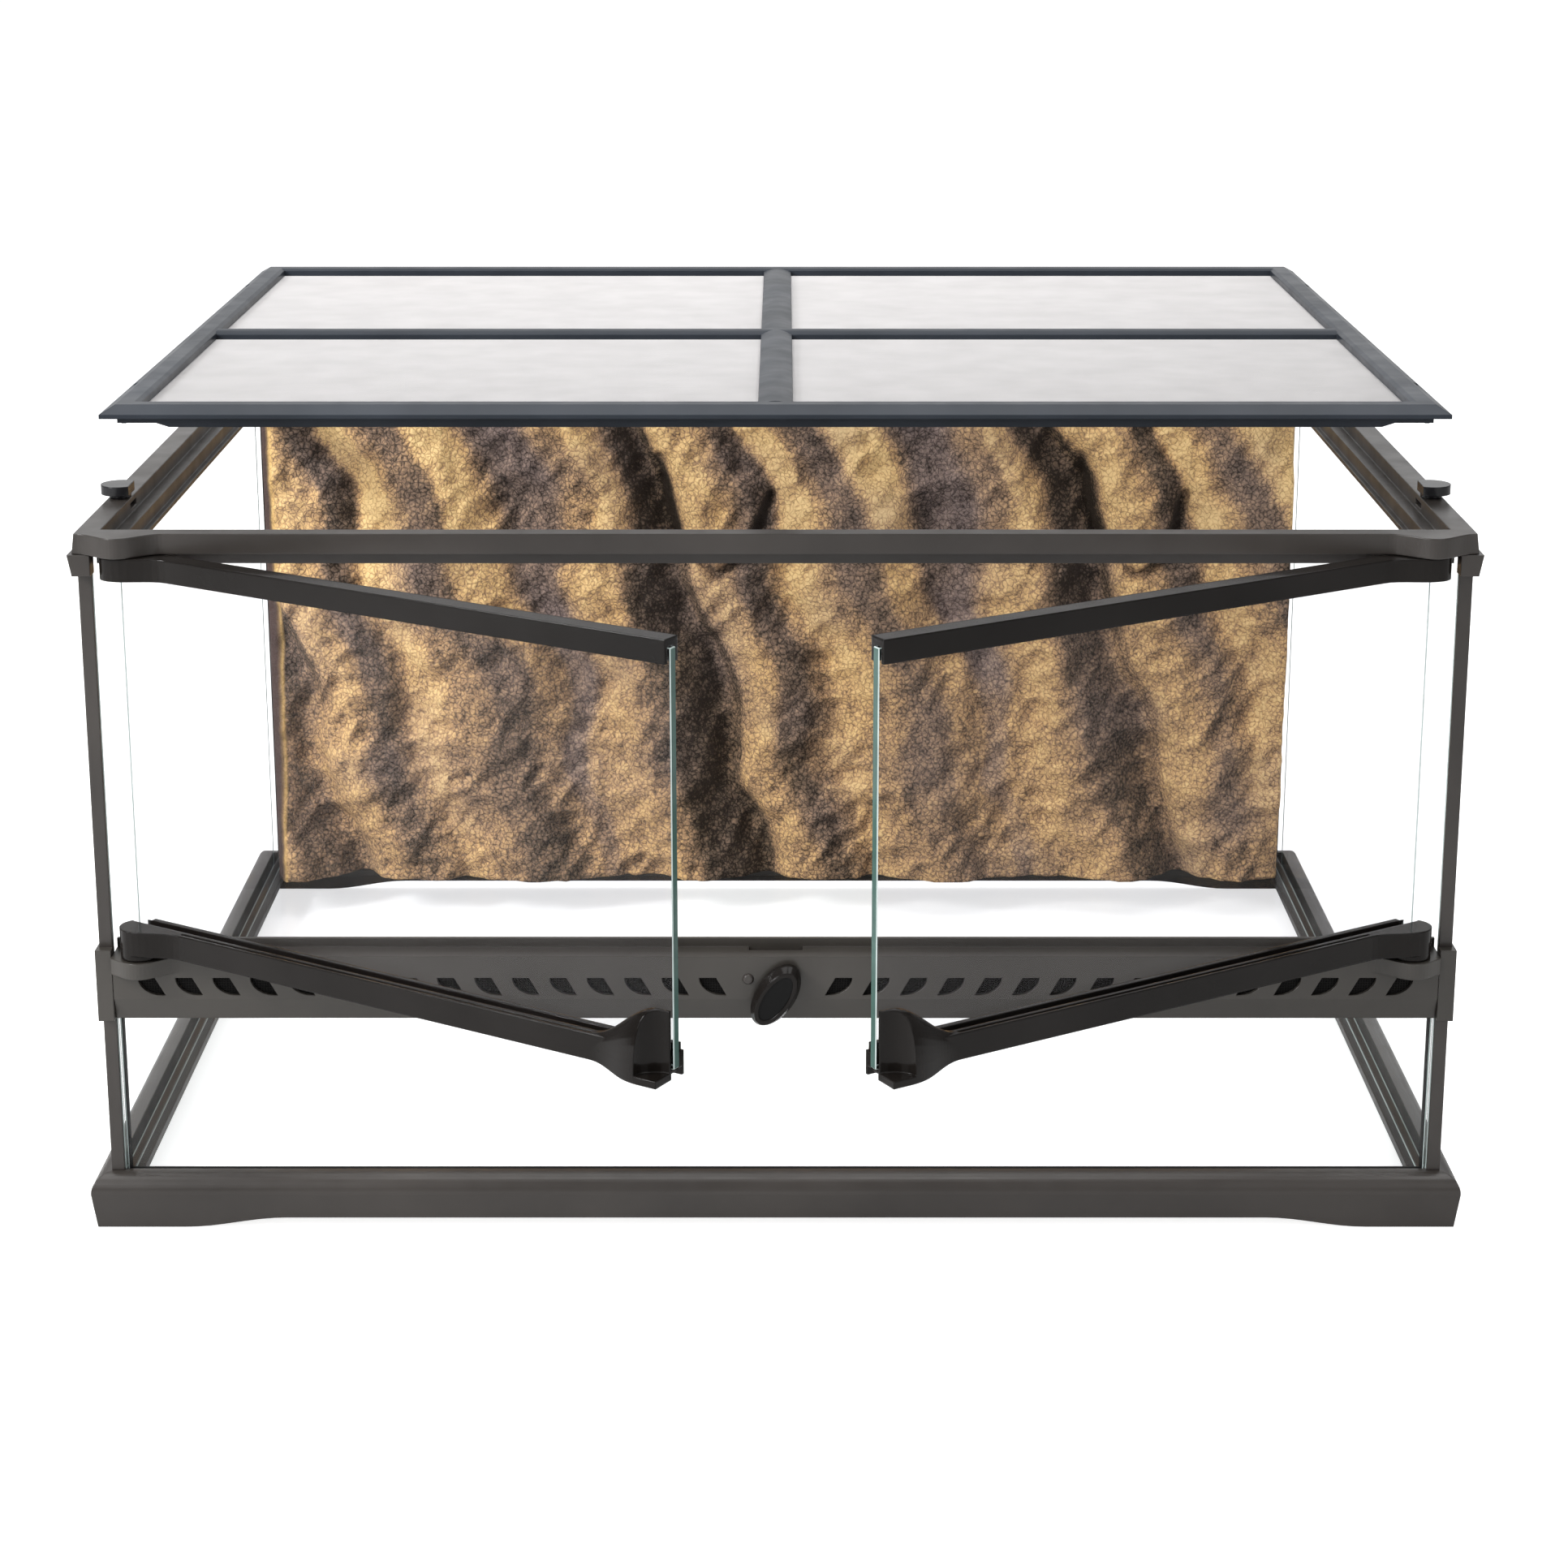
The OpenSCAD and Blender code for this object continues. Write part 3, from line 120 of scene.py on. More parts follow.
def moulded_plastic(name, colour, roughness, grain, corner, specular):
    """Moulded plastic with rubbed patches, a fine grain and softly rounded corners."""
    material, tree, surface = new_material(name)
    worn = tuple(min(1, c * WORN_GAIN + WORN_HAZE) for c in colour)
    patches = spread(tree, add_noise(tree, PATCHES_PER_METRE, detail=4), 0, 1)
    tree.links.new(blend_colours(tree, patches, colour, worn), surface.inputs["Base Color"])
    tree.links.new(spread(tree, add_noise(tree, RUBS_PER_METRE, detail=3),
                          roughness - ROUGHNESS_SPREAD, roughness + ROUGHNESS_SPREAD),
                   surface.inputs["Roughness"])
    surface.inputs["Specular IOR Level"].default_value = specular
    edge = tree.nodes.new("ShaderNodeBevel")
    edge.samples = 6
    edge.inputs["Radius"].default_value = corner
    bump = tree.nodes.new("ShaderNodeBump")
    bump.inputs["Strength"].default_value = grain
    bump.inputs["Distance"].default_value = GRAIN_HEIGHT
    tree.links.new(add_noise(tree, GRAINS_PER_METRE, detail=2), bump.inputs["Height"])
    tree.links.new(edge.outputs["Normal"], bump.inputs["Normal"])
    tree.links.new(bump.outputs["Normal"], surface.inputs["Normal"])
    return material


def dress(material, *nodes):
    """Gives pieces of the frame their finish."""
    for node in nodes:
        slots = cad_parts[node].data.materials
        slots.clear()
        slots.append(material)


case_plastic = moulded_plastic("case_plastic", tone(44, 40, 37), roughness=0.34, grain=0.2,
                               corner=0.0009, specular=0.5)
dress(case_plastic, "base_frame")


# Wall panes and floor pane
# Float glass, 4 mm in the walls and 5 mm in the floor, cut to size and seamed along its edges.
# The panes stand on the base frame's ledge.

MIRROR_HEAD_ON = 0.008
MIRROR_GAIN = 0.22
MIRROR_POWER = 5


def clear_glass(name, tint):
    """A clean pane: what is behind it shows, and its faces mirror the room at a slant."""
    material, tree, surface = new_material(name)
    tree.nodes.remove(surface)
    through = tree.nodes.new("ShaderNodeBsdfTransparent")
    through.inputs["Color"].default_value = (*tint, 1)
    mirror = tree.nodes.new("ShaderNodeBsdfGlossy")
    mirror.inputs["Roughness"].default_value = 0.03
    slant = tree.nodes.new("ShaderNodeLayerWeight")
    slant.inputs["Blend"].default_value = 0.5
    gloss = combine(tree, "POWER", slant.outputs["Facing"], MIRROR_POWER)
    gloss = combine(tree, "MULTIPLY", gloss, MIRROR_GAIN)
    gloss = combine(tree, "ADD", gloss, MIRROR_HEAD_ON)
    mix = tree.nodes.new("ShaderNodeMixShader")
    tree.links.new(gloss, mix.inputs["Fac"])
    tree.links.new(through.outputs["BSDF"], mix.inputs[1])
    tree.links.new(mirror.outputs["BSDF"], mix.inputs[2])
    tree.links.new(mix.outputs["Shader"], tree.nodes["Material Output"].inputs["Surface"])
    return material


def glass_edge(name, colour, roughness):
    material, tree, surface = new_material(name)
    pale = tuple(min(1, c * 1.25) for c in colour)
    clouds = spread(tree, add_noise(tree, scale=90, detail=3), 0, 1)
    tree.links.new(blend_colours(tree, clouds, colour, pale), surface.inputs["Base Color"])
    surface.inputs["Roughness"].default_value = roughness
    return material


WALL_GLASS = clear_glass("wall_glass", (0.988, 0.992, 0.992))
PANE_EDGE = glass_edge("cut_glass_edge", tone(60, 86, 80), roughness=0.15)
PANE_SEAM = glass_edge("seamed_glass_corner", tone(170, 182, 180), roughness=0.4)
SEAM = 0.0004
SQUARE_ON = 0.99


def add_mesh(name, mesh_data, materials):
    """Makes an object from a bmesh and gives it its finishes."""
    mesh = bpy.data.meshes.new(name)
    mesh_data.to_mesh(mesh)
    mesh_data.free()
    for material in materials:
        mesh.materials.append(material)
    piece = bpy.data.objects.new(name, mesh)
    bpy.context.scene.collection.objects.link(piece)
    return piece


def glass_pane(node, body, glass, low, high, cut=None, place=Matrix.Identity(4)):
    """A pane between two corners, with seamed edges, in the place of the frame's plain one. Its
    one cut edge that is seen from outside, if it has one, faces the way that cut says."""
    size = Vector(high) - Vector(low)
    shape = bmesh.new()
    bmesh.ops.create_cube(shape, size=1)
    bmesh.ops.scale(shape, vec=size, verts=shape.verts)
    bmesh.ops.translate(shape, vec=(Vector(low) + Vector(high)) / 2, verts=shape.verts)
    bmesh.ops.bevel(shape, geom=list(shape.edges), offset=SEAM, segments=1, affect="EDGES")
    shape.normal_update()
    for face in shape.faces:
        if max(abs(face.normal[axis]) for axis in range(3)) < SQUARE_ON:
            face.material_index = 2
        elif cut and face.normal.dot(Vector(cut)) > SQUARE_ON:
            face.material_index = 1
    shape.transform(place)
    pane = add_mesh(node + "_pane", shape, (glass, PANE_EDGE, PANE_SEAM))
    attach(pane, body)
    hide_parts(node)
    return pane


for wall in ("floor_glass", "rear_glass", "front_glass", "left_glass", "right_glass"):
    glass_pane(wall, "enclosure", WALL_GLASS, *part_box(wall))


# Corner posts and silicone
# Slim moulded angles hide the cut edges of the side panes, and black silicone, drawn smooth with
# a finger, runs along every inner corner where two panes meet.

silicone = moulded_plastic("black_silicone", tone(40, 40, 40), roughness=0.36, grain=0.1,
                           corner=0.0006, specular=0.5)
dress(case_plastic, "front_left_post", "front_right_post")
dress(silicone, "silicone_seams")


# Vent band
# A moulding across the front under the doors. Its slots are backed by strips of fine black
# screen, and two caps clip its ends round the posts.

band_plastic = moulded_plastic("band_plastic", tone(46, 43, 39), roughness=0.34, grain=0.2,
                               corner=0.0007, specular=0.5)
dress(band_plastic, "vent_band", "left_band_cap", "right_band_cap")
ONE_BAND_PER_METRE = 0.314


def woven_screen(name, colour, pitch):
    """Fine woven wire, as a texture for strips that are hardly seen. The gaps between the wires
    are painted near black, as painted shade seen through them.
    """
    material, tree, surface = new_material(name)
    place = tree.nodes.new("ShaderNodeTexCoord")
    heights = []
    for axis in ("X", "Z"):
        wave = tree.nodes.new("ShaderNodeTexWave")
        wave.bands_direction = axis
        wave.inputs["Scale"].default_value = ONE_BAND_PER_METRE / pitch
        tree.links.new(place.outputs["Object"], wave.inputs["Vector"])
        heights.append(wave.outputs["Fac"])
    wires = combine(tree, "MAXIMUM", *heights)
    bump = tree.nodes.new("ShaderNodeBump")
    bump.inputs["Distance"].default_value = pitch / 4
    tree.links.new(wires, bump.inputs["Height"])
    tree.links.new(bump.outputs["Normal"], surface.inputs["Normal"])
    # Painted shade: the gaps between the wires are coloured near black.
    painted_shade_gap = (0.001, 0.001, 0.001)
    tree.links.new(blend_colours(tree, wires, painted_shade_gap, colour), surface.inputs["Base Color"])
    surface.inputs["Roughness"].default_value = 0.6
    surface.inputs["Specular IOR Level"].default_value = 0.1
    return material


dress(woven_screen("black_screen", tone(22, 21, 20), pitch=0.0012), "vent_screen")
dress(case_plastic, "band_rivet")


# Hinge pins
# Turned steel, pressed into the ears of the vent band and the top frame.

def bright_steel(name):
    material, tree, surface = new_material(name)
    surface.inputs["Metallic"].default_value = 1
    surface.inputs["Base Color"].default_value = (0.55, 0.55, 0.54, 1)
    turning = add_noise(tree, scale=900, detail=2, stretch=(1, 1, 0.05))
    tree.links.new(spread(tree, turning, 0.3, 0.42), surface.inputs["Roughness"])
    return material


steel = bright_steel("turned_steel")
dress(steel, "lower_pivot_pins", "upper_pivot_pins")


# Top frame and corner sockets
# A ring with the recess that the lid lies in, moulded in the same satin black plastic, and four
# tapered sockets that hold it, on the posts in front and on the panes at the rear.

dress(case_plastic, "top_frame", "corner_sockets")


# Rock panel
# Pressed foam with a relief of slanting flutes, painted dark in the furrows, grey-mauve in the
# hollows and ochre on the ridges, with painted light and shade from the upper left laid into that
# paint: lighter ridges and sides facing left and up, painted shade in furrows, hollows and
# creases.
# It stands against the rear pane, and its back is bare.

ROCK_PITCH = 0.2377
ROCK_BACK = 0.2185
ROCK_FLAT = 0.014
ROCK_RELIEF = 0.026
ROCK_STEP = 0.0016
ROCK_CORNER = 0.012
LEFT_BORDER = 0.0075
RIGHT_BORDER = 0.003
CREASE_WIDTH = 0.0032
SEAM_FADE = 0.0012
SEAM_THREAD = 0.0008
LATTICE = 512

# One pitch of the relief, from furrow to furrow: millimetres along it, and height from 0 to 1.
FLUTES = ((0, 0.05), (6, 0.1), (14, 0.6), (28, 0.85), (46, 0.8), (64, 0.5), (80, 0.72),
          (100, 1), (118, 0.93), (136, 0.62), (155, 0.38), (172, 0.5), (192, 0.84),
          (208, 0.86), (222, 0.5), (237.7, 0.05))


def flute_phase(x, z):
    """How far a place is to the right of its main furrow, in metres."""
    furrow = -0.005 - 0.22 * z - 0.2 * z * z + 0.004 * np.sin(2 * math.pi * z / 0.11)
    return np.mod(x - furrow, ROCK_PITCH)


def rock_relief(x, z):
    """The pressed form, from 0 in a furrow to 1 on a ridge."""
    along, height = np.array(FLUTES).T
    return np.interp(flute_phase(x, z) * 1000, along, height)


# The relief is painted by hand with a brush, and each stroke follows its flute up the panel. The
# strokes carry the foam's paint and painted light and shade with it: ochre on the lit ridges, and
# dark and grey-mauve painted shade in the furrows and hollows. A stroke has three paths:
# millimetres past the main furrow, half width in millimetres, and paint from 0, dark, to 1, ochre,
# each at the foot, the middle and the top. Last is its share of grey-mauve, which is partly
# painted shade.
GROUND_PAINT = 0.46
MAUVE_FULL_AT = 0.16
MAUVE_AT_FOOT = 0.35
STROKE_HEIGHTS = (0.02, 0.14, 0.25)
STROKES = (
    ((162, 176, 211), (34, 20, 10), (0.55, 0.64, 0.82), 0),       # broad ridge left of the furrow
    ((150, 158, 163), (4, 9, 18), (0.5, 0.36, 0.28), 0.9),        # hollow that opens upwards
    ((132, 136, 124), (6, 12, 15), (0.42, 0.6, 0.92), 0),         # the brightest ridge, at the top
    ((114, 117, 98), (16, 11, 9), (0.3, 0.32, 0.32), 0.4),        # brown hollow
    ((66, 74, 72), (12, 12, 10), (0.6, 0.7, 0.84), 0),            # narrow ridge
    ((42, 44, 54), (9, 9, 8), (0.31, 0.27, 0.22), 0.5),           # narrow hollow
    ((20, 24, 26), (11, 12, 14), (0.54, 0.64, 0.74), 0),          # ridge right of the furrow
    ((-12, -12, -2), (17, 24, 11), (0.14, 0.14, 0.13), 0.35),     # main furrow
    ((4, 10, 8), (3, 3, 3), (0.04, 0.03, 0.02), 0),               # its black border
)
# The outline of the bulge that hangs over the left main furrow: x and z in metres.
BULGE = ((-0.066, 0.272), (-0.057, 0.228), (-0.0345, 0.204), (-0.015, 0.215), (-0.006, 0.25))


def paint_and_painted_light(x, z):
    """The paint from dark to ochre with its painted light and shade, and its share of grey-mauve,
    partly painted shade, as the strokes lay them on one another.
    """
    phase = flute_phase(x, z) * 1000
    pitch = ROCK_PITCH * 1000
    light, mauve_tint_and_shade = np.full(x.shape, GROUND_PAINT), np.zeros(x.shape)
    for *paths, mauve in STROKES:
        centre, width, paint = (np.interp(z, STROKE_HEIGHTS, path) for path in paths)
        away = np.mod(phase - centre + pitch / 2, pitch) - pitch / 2
        cover = 1 / (1 + (away / width) ** 6)
        light = light * (1 - cover) + paint * cover
        mauve_tint_and_shade = mauve_tint_and_shade * (1 - cover) + mauve * cover
    return light, mauve_tint_and_shade * np.clip(z / MAUVE_FULL_AT, MAUVE_AT_FOOT, 1)


def bulge_line(x, z):
    """Distance to the outline of the two bulges that hang over the main furrows."""
    nearest = np.full(x.shape, 1.0)
    for shift in (0, ROCK_PITCH):
        for (xa, za), (xb, zb) in zip(BULGE, BULGE[1:]):
            dx, dz = xb - xa, zb - za
            right, up = x - xa - shift, z - za
            along = np.clip((right * dx + up * dz) / (dx * dx + dz * dz), 0, 1)
            nearest = np.minimum(nearest, np.hypot(right - along * dx, up - along * dz))
    return nearest


def value_noise(x, z, cell, seed):
    """Smooth random hills of about one cell across."""
    lattice = np.random.default_rng(seed).random((LATTICE, LATTICE))
    u, v = x / cell + 200, z / cell + 100
    i, j = np.floor(u).astype(int), np.floor(v).astype(int)
    s, t = u - i, v - j
    s, t = s * s * (3 - 2 * s), t * t * (3 - 2 * t)
    left, right = i % LATTICE, (i + 1) % LATTICE
    below, above = j % LATTICE, (j + 1) % LATTICE
    low = lattice[left, below] * (1 - s) + lattice[right, below] * s
    high = lattice[left, above] * (1 - s) + lattice[right, above] * s
    return low * (1 - t) + high * t - 0.5


def folded(x, z, cell, seed):
    """Hills with sharp creases between them."""
    return 1 - 4 * np.abs(value_noise(x, z, cell, seed))


def soften(grid, steps):
    """Evens a grid out, a little more with each step."""
    for _ in range(steps):
        padded = np.pad(grid, 1, mode="edge")
        grid = (padded[:-2, 1:-1] + padded[2:, 1:-1] + padded[1:-1, :-2] + padded[1:-1, 2:]
                + 2 * padded[1:-1, 1:-1]) / 6
    return grid


def ramp_down(value, start, width):
    """1 well below the start, and 0 from it on."""
    return np.clip((start - value) / width, 0, 1)


def rock_grid(low, high):
    """Places, heights, paint with its painted light and shade, and grey-mauve share of the panel's
    front, as grids.
    """
    across = np.linspace(low.x, high.x, round((high.x - low.x) / ROCK_STEP))
    up = np.linspace(low.z, high.z, round((high.z - low.z) / ROCK_STEP))
    x, z = np.meshgrid(across, up)
    wander = (0.012 * value_noise(x, z, cell=0.05, seed=1)
              + 0.006 * value_noise(x, z, cell=0.02, seed=2))
    form = soften(rock_relief(x + wander, z), steps=3)
    lumps = (0.17 * value_noise(x, z, cell=0.024, seed=3)
             + 0.14 * value_noise(x + 0.4 * z, z, cell=0.011, seed=4))
    grit = (0.08 * value_noise(x, z, cell=0.0055, seed=5)
            + 0.06 * value_noise(x, z, cell=0.003, seed=6))
    crease = np.exp(-(bulge_line(x + wander / 2, z) / CREASE_WIDTH) ** 2)
    crags = (0.09 * folded(x, z, cell=0.03, seed=8)
             + 0.07 * folded(x - 0.5 * z, z, cell=0.014, seed=9))
    relief = form + lumps + grit + crags
    edge = np.minimum((x - low.x) / LEFT_BORDER, (high.x - x) / RIGHT_BORDER)
    height = np.clip(relief - 0.3 * crease, 0, 1) * np.sqrt(np.clip(edge, 0, 1))
    rise = soften(relief, steps=1)
    slope = np.gradient(rise, ROCK_STEP, axis=1) - 0.5 * np.gradient(rise, ROCK_STEP, axis=0)

    light, mauve_tint_and_shade = paint_and_painted_light(x + wander, z)
    # The lumps and grit are lighter where they stand up, and the crease under each bulge is
    # painted dark: a painted shadow.
    light = light + 0.36 * (lumps + grit) - 0.4 * crease
    # The lower left keeps no dark furrow, and the lower right has less contrast.
    left = ramp_down(x, start=-0.225, width=0.02) * ramp_down(z, start=0.15, width=0.03)
    light = light * (1 - left) + left * np.maximum(light, GROUND_PAINT + lumps)
    right = ramp_down(-x, start=-0.06, width=0.03) * ramp_down(z, start=0.2, width=0.04)
    light = light + right * (0.27 - 0.4 * light)
    # Painted light and shade from the upper left: sides that face left and up are painted lighter,
    # and sides that face right and down darker.
    light = light + 0.05 + np.clip(0.005 * slope, -0.2, 0.16)
    mauve_tint_and_shade = mauve_tint_and_shade + 0.7 * value_noise(x, z, cell=0.03, seed=7)
    return x, z, height, light, mauve_tint_and_shade


def rock_panel():
    """The panel as one closed mesh. Its paint, with its painted light and shade, is left on its
    points for the material.
    """
    low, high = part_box("rock_background")
    x, z, height, light, mauve_tint_and_shade = rock_grid(low, high)
    rows, cols = x.shape
    inner, shoulder = high.x - ROCK_CORNER, high.z - ROCK_CORNER
    past = np.clip(np.abs(x) - inner, 0, None)
    rounding = np.sqrt(np.clip(1 - ((z - shoulder) / ROCK_CORNER) ** 2, 0.02, 1))
    x = np.where((past > 0) & (z > shoulder), np.sign(x) * (inner + past * rounding), x)
    depth = ROCK_BACK - ROCK_FLAT - ROCK_RELIEF * height
    front = np.stack([x, depth, z], -1).reshape(-1, 3)
    rim = ([(0, i) for i in range(cols)] + [(j, cols - 1) for j in range(1, rows)]
           + [(rows - 1, i) for i in range(cols - 2, -1, -1)]
           + [(j, 0) for j in range(rows - 2, 0, -1)])
    rim = [j * cols + i for j, i in rim]
    rear = front[rim].copy()
    rear[:, 1] = ROCK_BACK
    count = rows * cols
    cells = [(j * cols + i, j * cols + i + 1, (j + 1) * cols + i + 1, (j + 1) * cols + i)
             for j in range(rows - 1) for i in range(cols - 1)]
    sides = [(rim[k], count + k, count + (k + 1) % len(rim), rim[(k + 1) % len(rim)])
             for k in range(len(rim))]
    back = [tuple(count + k for k in range(len(rim) - 1, -1, -1))]
    mesh = bpy.data.meshes.new("rock_panel")
    mesh.from_pydata(np.concatenate([front, rear]).tolist(), [], cells + sides + back)
    mesh.polygons[-1].material_index = 1
    seam = low.x + LEFT_BORDER
    border = np.clip((seam - x) / SEAM_FADE, 0, 1)
    thread = np.exp(-((x - seam) / SEAM_THREAD) ** 2)
    for name, grid in (("light", light), ("mauve_tint_and_shade", mauve_tint_and_shade), ("border", border), ("thread", thread)):
        attribute = mesh.attributes.new(name, "FLOAT", "POINT")
        values = np.concatenate([grid.ravel(), grid.ravel()[rim]])
        attribute.data.foreach_set("value", values.astype(np.float32))
    mesh.shade_smooth()
    panel = bpy.data.objects.new("rock_panel", mesh)
    bpy.context.scene.collection.objects.link(panel)
    return panel


def read_attribute(tree, name):
    node = tree.nodes.new("ShaderNodeAttribute")
    node.attribute_name = name
    return node.outputs["Fac"]


def colour_ramp(tree, factor, stops):
    ramp = tree.nodes.new("ShaderNodeValToRGB")
    elements = ramp.color_ramp.elements
    while len(elements) < len(stops):
        elements.new(0.5)
    for element, (place, colour) in zip(elements, stops):
        element.position = place
        element.color = (*colour, 1)
    tree.links.new(factor, ramp.inputs["Fac"])
    return ramp.outputs["Color"]


def granules(tree, size):
    """Distance to the nearest crack between granules of a size, from 0 in it."""
    place = tree.nodes.new("ShaderNodeTexCoord")
    cells = tree.nodes.new("ShaderNodeTexVoronoi")
    cells.feature = "DISTANCE_TO_EDGE"
    cells.inputs["Scale"].default_value = 1 / size
    bend = tree.nodes.new("ShaderNodeVectorMath")
    bend.operation = "ADD"
    noise = tree.nodes.new("ShaderNodeTexNoise")
    noise.inputs["Scale"].default_value = 0.6 / size
    shrink = tree.nodes.new("ShaderNodeVectorMath")
    shrink.operation = "SCALE"
    shrink.inputs["Scale"].default_value = size * 1.4
    tree.links.new(place.outputs["Object"], noise.inputs["Vector"])
    tree.links.new(noise.outputs["Color"], shrink.inputs[0])
    tree.links.new(place.outputs["Object"], bend.inputs[0])
    tree.links.new(shrink.outputs["Vector"], bend.inputs[1])
    tree.links.new(bend.outputs["Vector"], cells.inputs["Vector"])
    return cells.outputs["Distance"]


GRANULE = 0.0028
# Both ramps run from dark to light, so their dark ends carry painted shade and their light ends
# painted light, over the foam's ochre and grey-mauve paints.
OCHRE_PAINT_AND_LIGHT = ((0.0, tone(52, 44, 37)), (0.14, tone(84, 72, 60)), (0.3, tone(112, 93, 76)),
               (0.45, tone(146, 118, 93)), (0.62, tone(184, 149, 111)),
               (0.8, tone(216, 177, 124)), (1.0, tone(238, 205, 148)))
MAUVE_PAINT_AND_SHADE = ((0.0, tone(58, 51, 49)), (0.25, tone(98, 86, 83)), (0.55, tone(138, 121, 115)),
               (0.9, tone(180, 158, 142)))
BORDER_PAINT = tone(80, 64, 60)
THREAD_PAINT = tone(214, 176, 110)


def painted_rock():
    """Foam with pits and granules, and the paint, with its painted light and shade, that the
    panel's points carry.
    """
    material, tree, surface = new_material("painted_rock_foam")
    grains = add_noise(tree, scale=520, detail=3)
    mottle = add_noise(tree, scale=120, detail=5)
    cracks = tree.nodes.new("ShaderNodeMapRange")
    cracks.inputs["From Max"].default_value = 0.13
    cracks.inputs["To Min"].default_value = -0.24
    cracks.inputs["To Max"].default_value = 0.04
    tree.links.new(granules(tree, GRANULE), cracks.inputs["Value"])
    light = combine(tree, "ADD", read_attribute(tree, "light"), spread(tree, grains, -0.17, 0.17))
    light = combine(tree, "ADD", light, spread(tree, mottle, -0.08, 0.08))
    light = combine(tree, "ADD", light, cracks.outputs["Result"])
    # The ochre ramp paints the lit ridges, and the mauve one paints the painted shade in the
    # hollows.
    paint = colour_ramp(tree, light, OCHRE_PAINT_AND_LIGHT)
    shade = colour_ramp(tree, light, MAUVE_PAINT_AND_SHADE)
    colour = blend_colours(tree, read_attribute(tree, "mauve_tint_and_shade"), paint, shade)
    colour = blend_colours(tree, read_attribute(tree, "border"), colour, BORDER_PAINT)
    colour = blend_colours(tree, read_attribute(tree, "thread"), colour, THREAD_PAINT)
    tree.links.new(colour, surface.inputs["Base Color"])
    surface.inputs["Roughness"].default_value = 0.85
    surface.inputs["Specular IOR Level"].default_value = 0.15
    pits = tree.nodes.new("ShaderNodeBump")
    pits.inputs["Strength"].default_value = 0.9
    pits.inputs["Distance"].default_value = 0.0014
    tree.links.new(combine(tree, "ADD", grains, cracks.outputs["Result"]), pits.inputs["Height"])
    tree.links.new(pits.outputs["Normal"], surface.inputs["Normal"])
    return material


def bare_foam():
    """The panel's unpainted back, as it comes out of the mould."""
    material, tree, surface = new_material("bare_foam")
    beads = add_noise(tree, scale=300, detail=4)
    tree.links.new(blend_colours(tree, spread(tree, beads, 0, 1), tone(66, 58, 52),
                                 tone(92, 82, 72)), surface.inputs["Base Color"])
    surface.inputs["Roughness"].default_value = 0.9
    surface.inputs["Specular IOR Level"].default_value = 0.1
    bump = tree.nodes.new("ShaderNodeBump")
    bump.inputs["Distance"].default_value = 0.0004
    tree.links.new(beads, bump.inputs["Height"])
    tree.links.new(bump.outputs["Normal"], surface.inputs["Normal"])
    return material


rock = rock_panel()
rock.data.materials.append(painted_rock())
rock.data.materials.append(bare_foam())
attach(rock, "enclosure")
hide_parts("rock_background")


# Doors
# Each door is a 4 mm pane gripped by a slim top rail and a bottom rail, which swings on two
# pins. The rails are moulded in a glossier black than the case, and the catch is screwed on.

DOOR_ANGLE = math.radians(31.3)
HINGE = Vector((0.283, -0.2315, 0))
DOOR_PANE = ((-0.007, 0.004, 0.1348), (0.2815, 0.008, 0.31))
MIRRORED = Matrix.Diagonal((-1, 1, 1, 1))
DOOR_GLASS = clear_glass("door_glass", (0.957, 0.954, 0.962))
door_plastic = moulded_plastic("door_plastic", tone(17, 14, 12), roughness=0.13, grain=0.04,
                               corner=0.001, specular=0.16)

for side in ("left", "right"):
    hinge = Matrix.Translation((-HINGE.x, HINGE.y, 0)) @ Matrix.Rotation(-DOOR_ANGLE, 4, "Z")
    place = hinge if side == "left" else MIRRORED @ hinge
    pane = glass_pane(side + "_door_glass", side + "_door", DOOR_GLASS, *DOOR_PANE,
                      cut=(1, 0, 0), place=place)
    if side == "right":
        pane.data.flip_normals()
    dress(door_plastic, side + "_door_top_rail", side + "_door_bottom_rail",
          side + "_door_catch")


# Latch
# A turn knob on a steel spindle through the vent band. Behind the band, a screw holds the steel
# arm that keeps the door catches shut.

dress(door_plastic, "latch_knob")
knob_inset = moulded_plastic("knob_inset", tone(10, 10, 10), roughness=0.1, grain=0.03,
                             corner=0.0003, specular=0.1)
dress(knob_inset, "latch_knob_inset")
dress(steel, "latch_spindle", "latch_cam", "latch_screw")


# Lid
# A frame with a centre bar and a cross bar, moulded in a cooler black, that grips four pieces of
# fine woven stainless screen.

lid_plastic = moulded_plastic("lid_plastic", tone(36, 40, 46), roughness=0.34, grain=0.1,
                              corner=0.0008, specular=0.14)
dress(lid_plastic, "lid_frame")
SCREEN_PITCH = 0.00145
WIRE = 0.00028


def screen_wire():
    material, tree, surface = new_material("stainless_wire")
    surface.inputs["Metallic"].default_value = 0.6
    surface.inputs["Roughness"].default_value = 0.45
    clouds = spread(tree, add_noise(tree, scale=40, detail=2), 0, 1)
    tree.links.new(blend_colours(tree, clouds, (0.41, 0.4, 0.4), (0.45, 0.44, 0.44)),
                   surface.inputs["Base Color"])
    return material


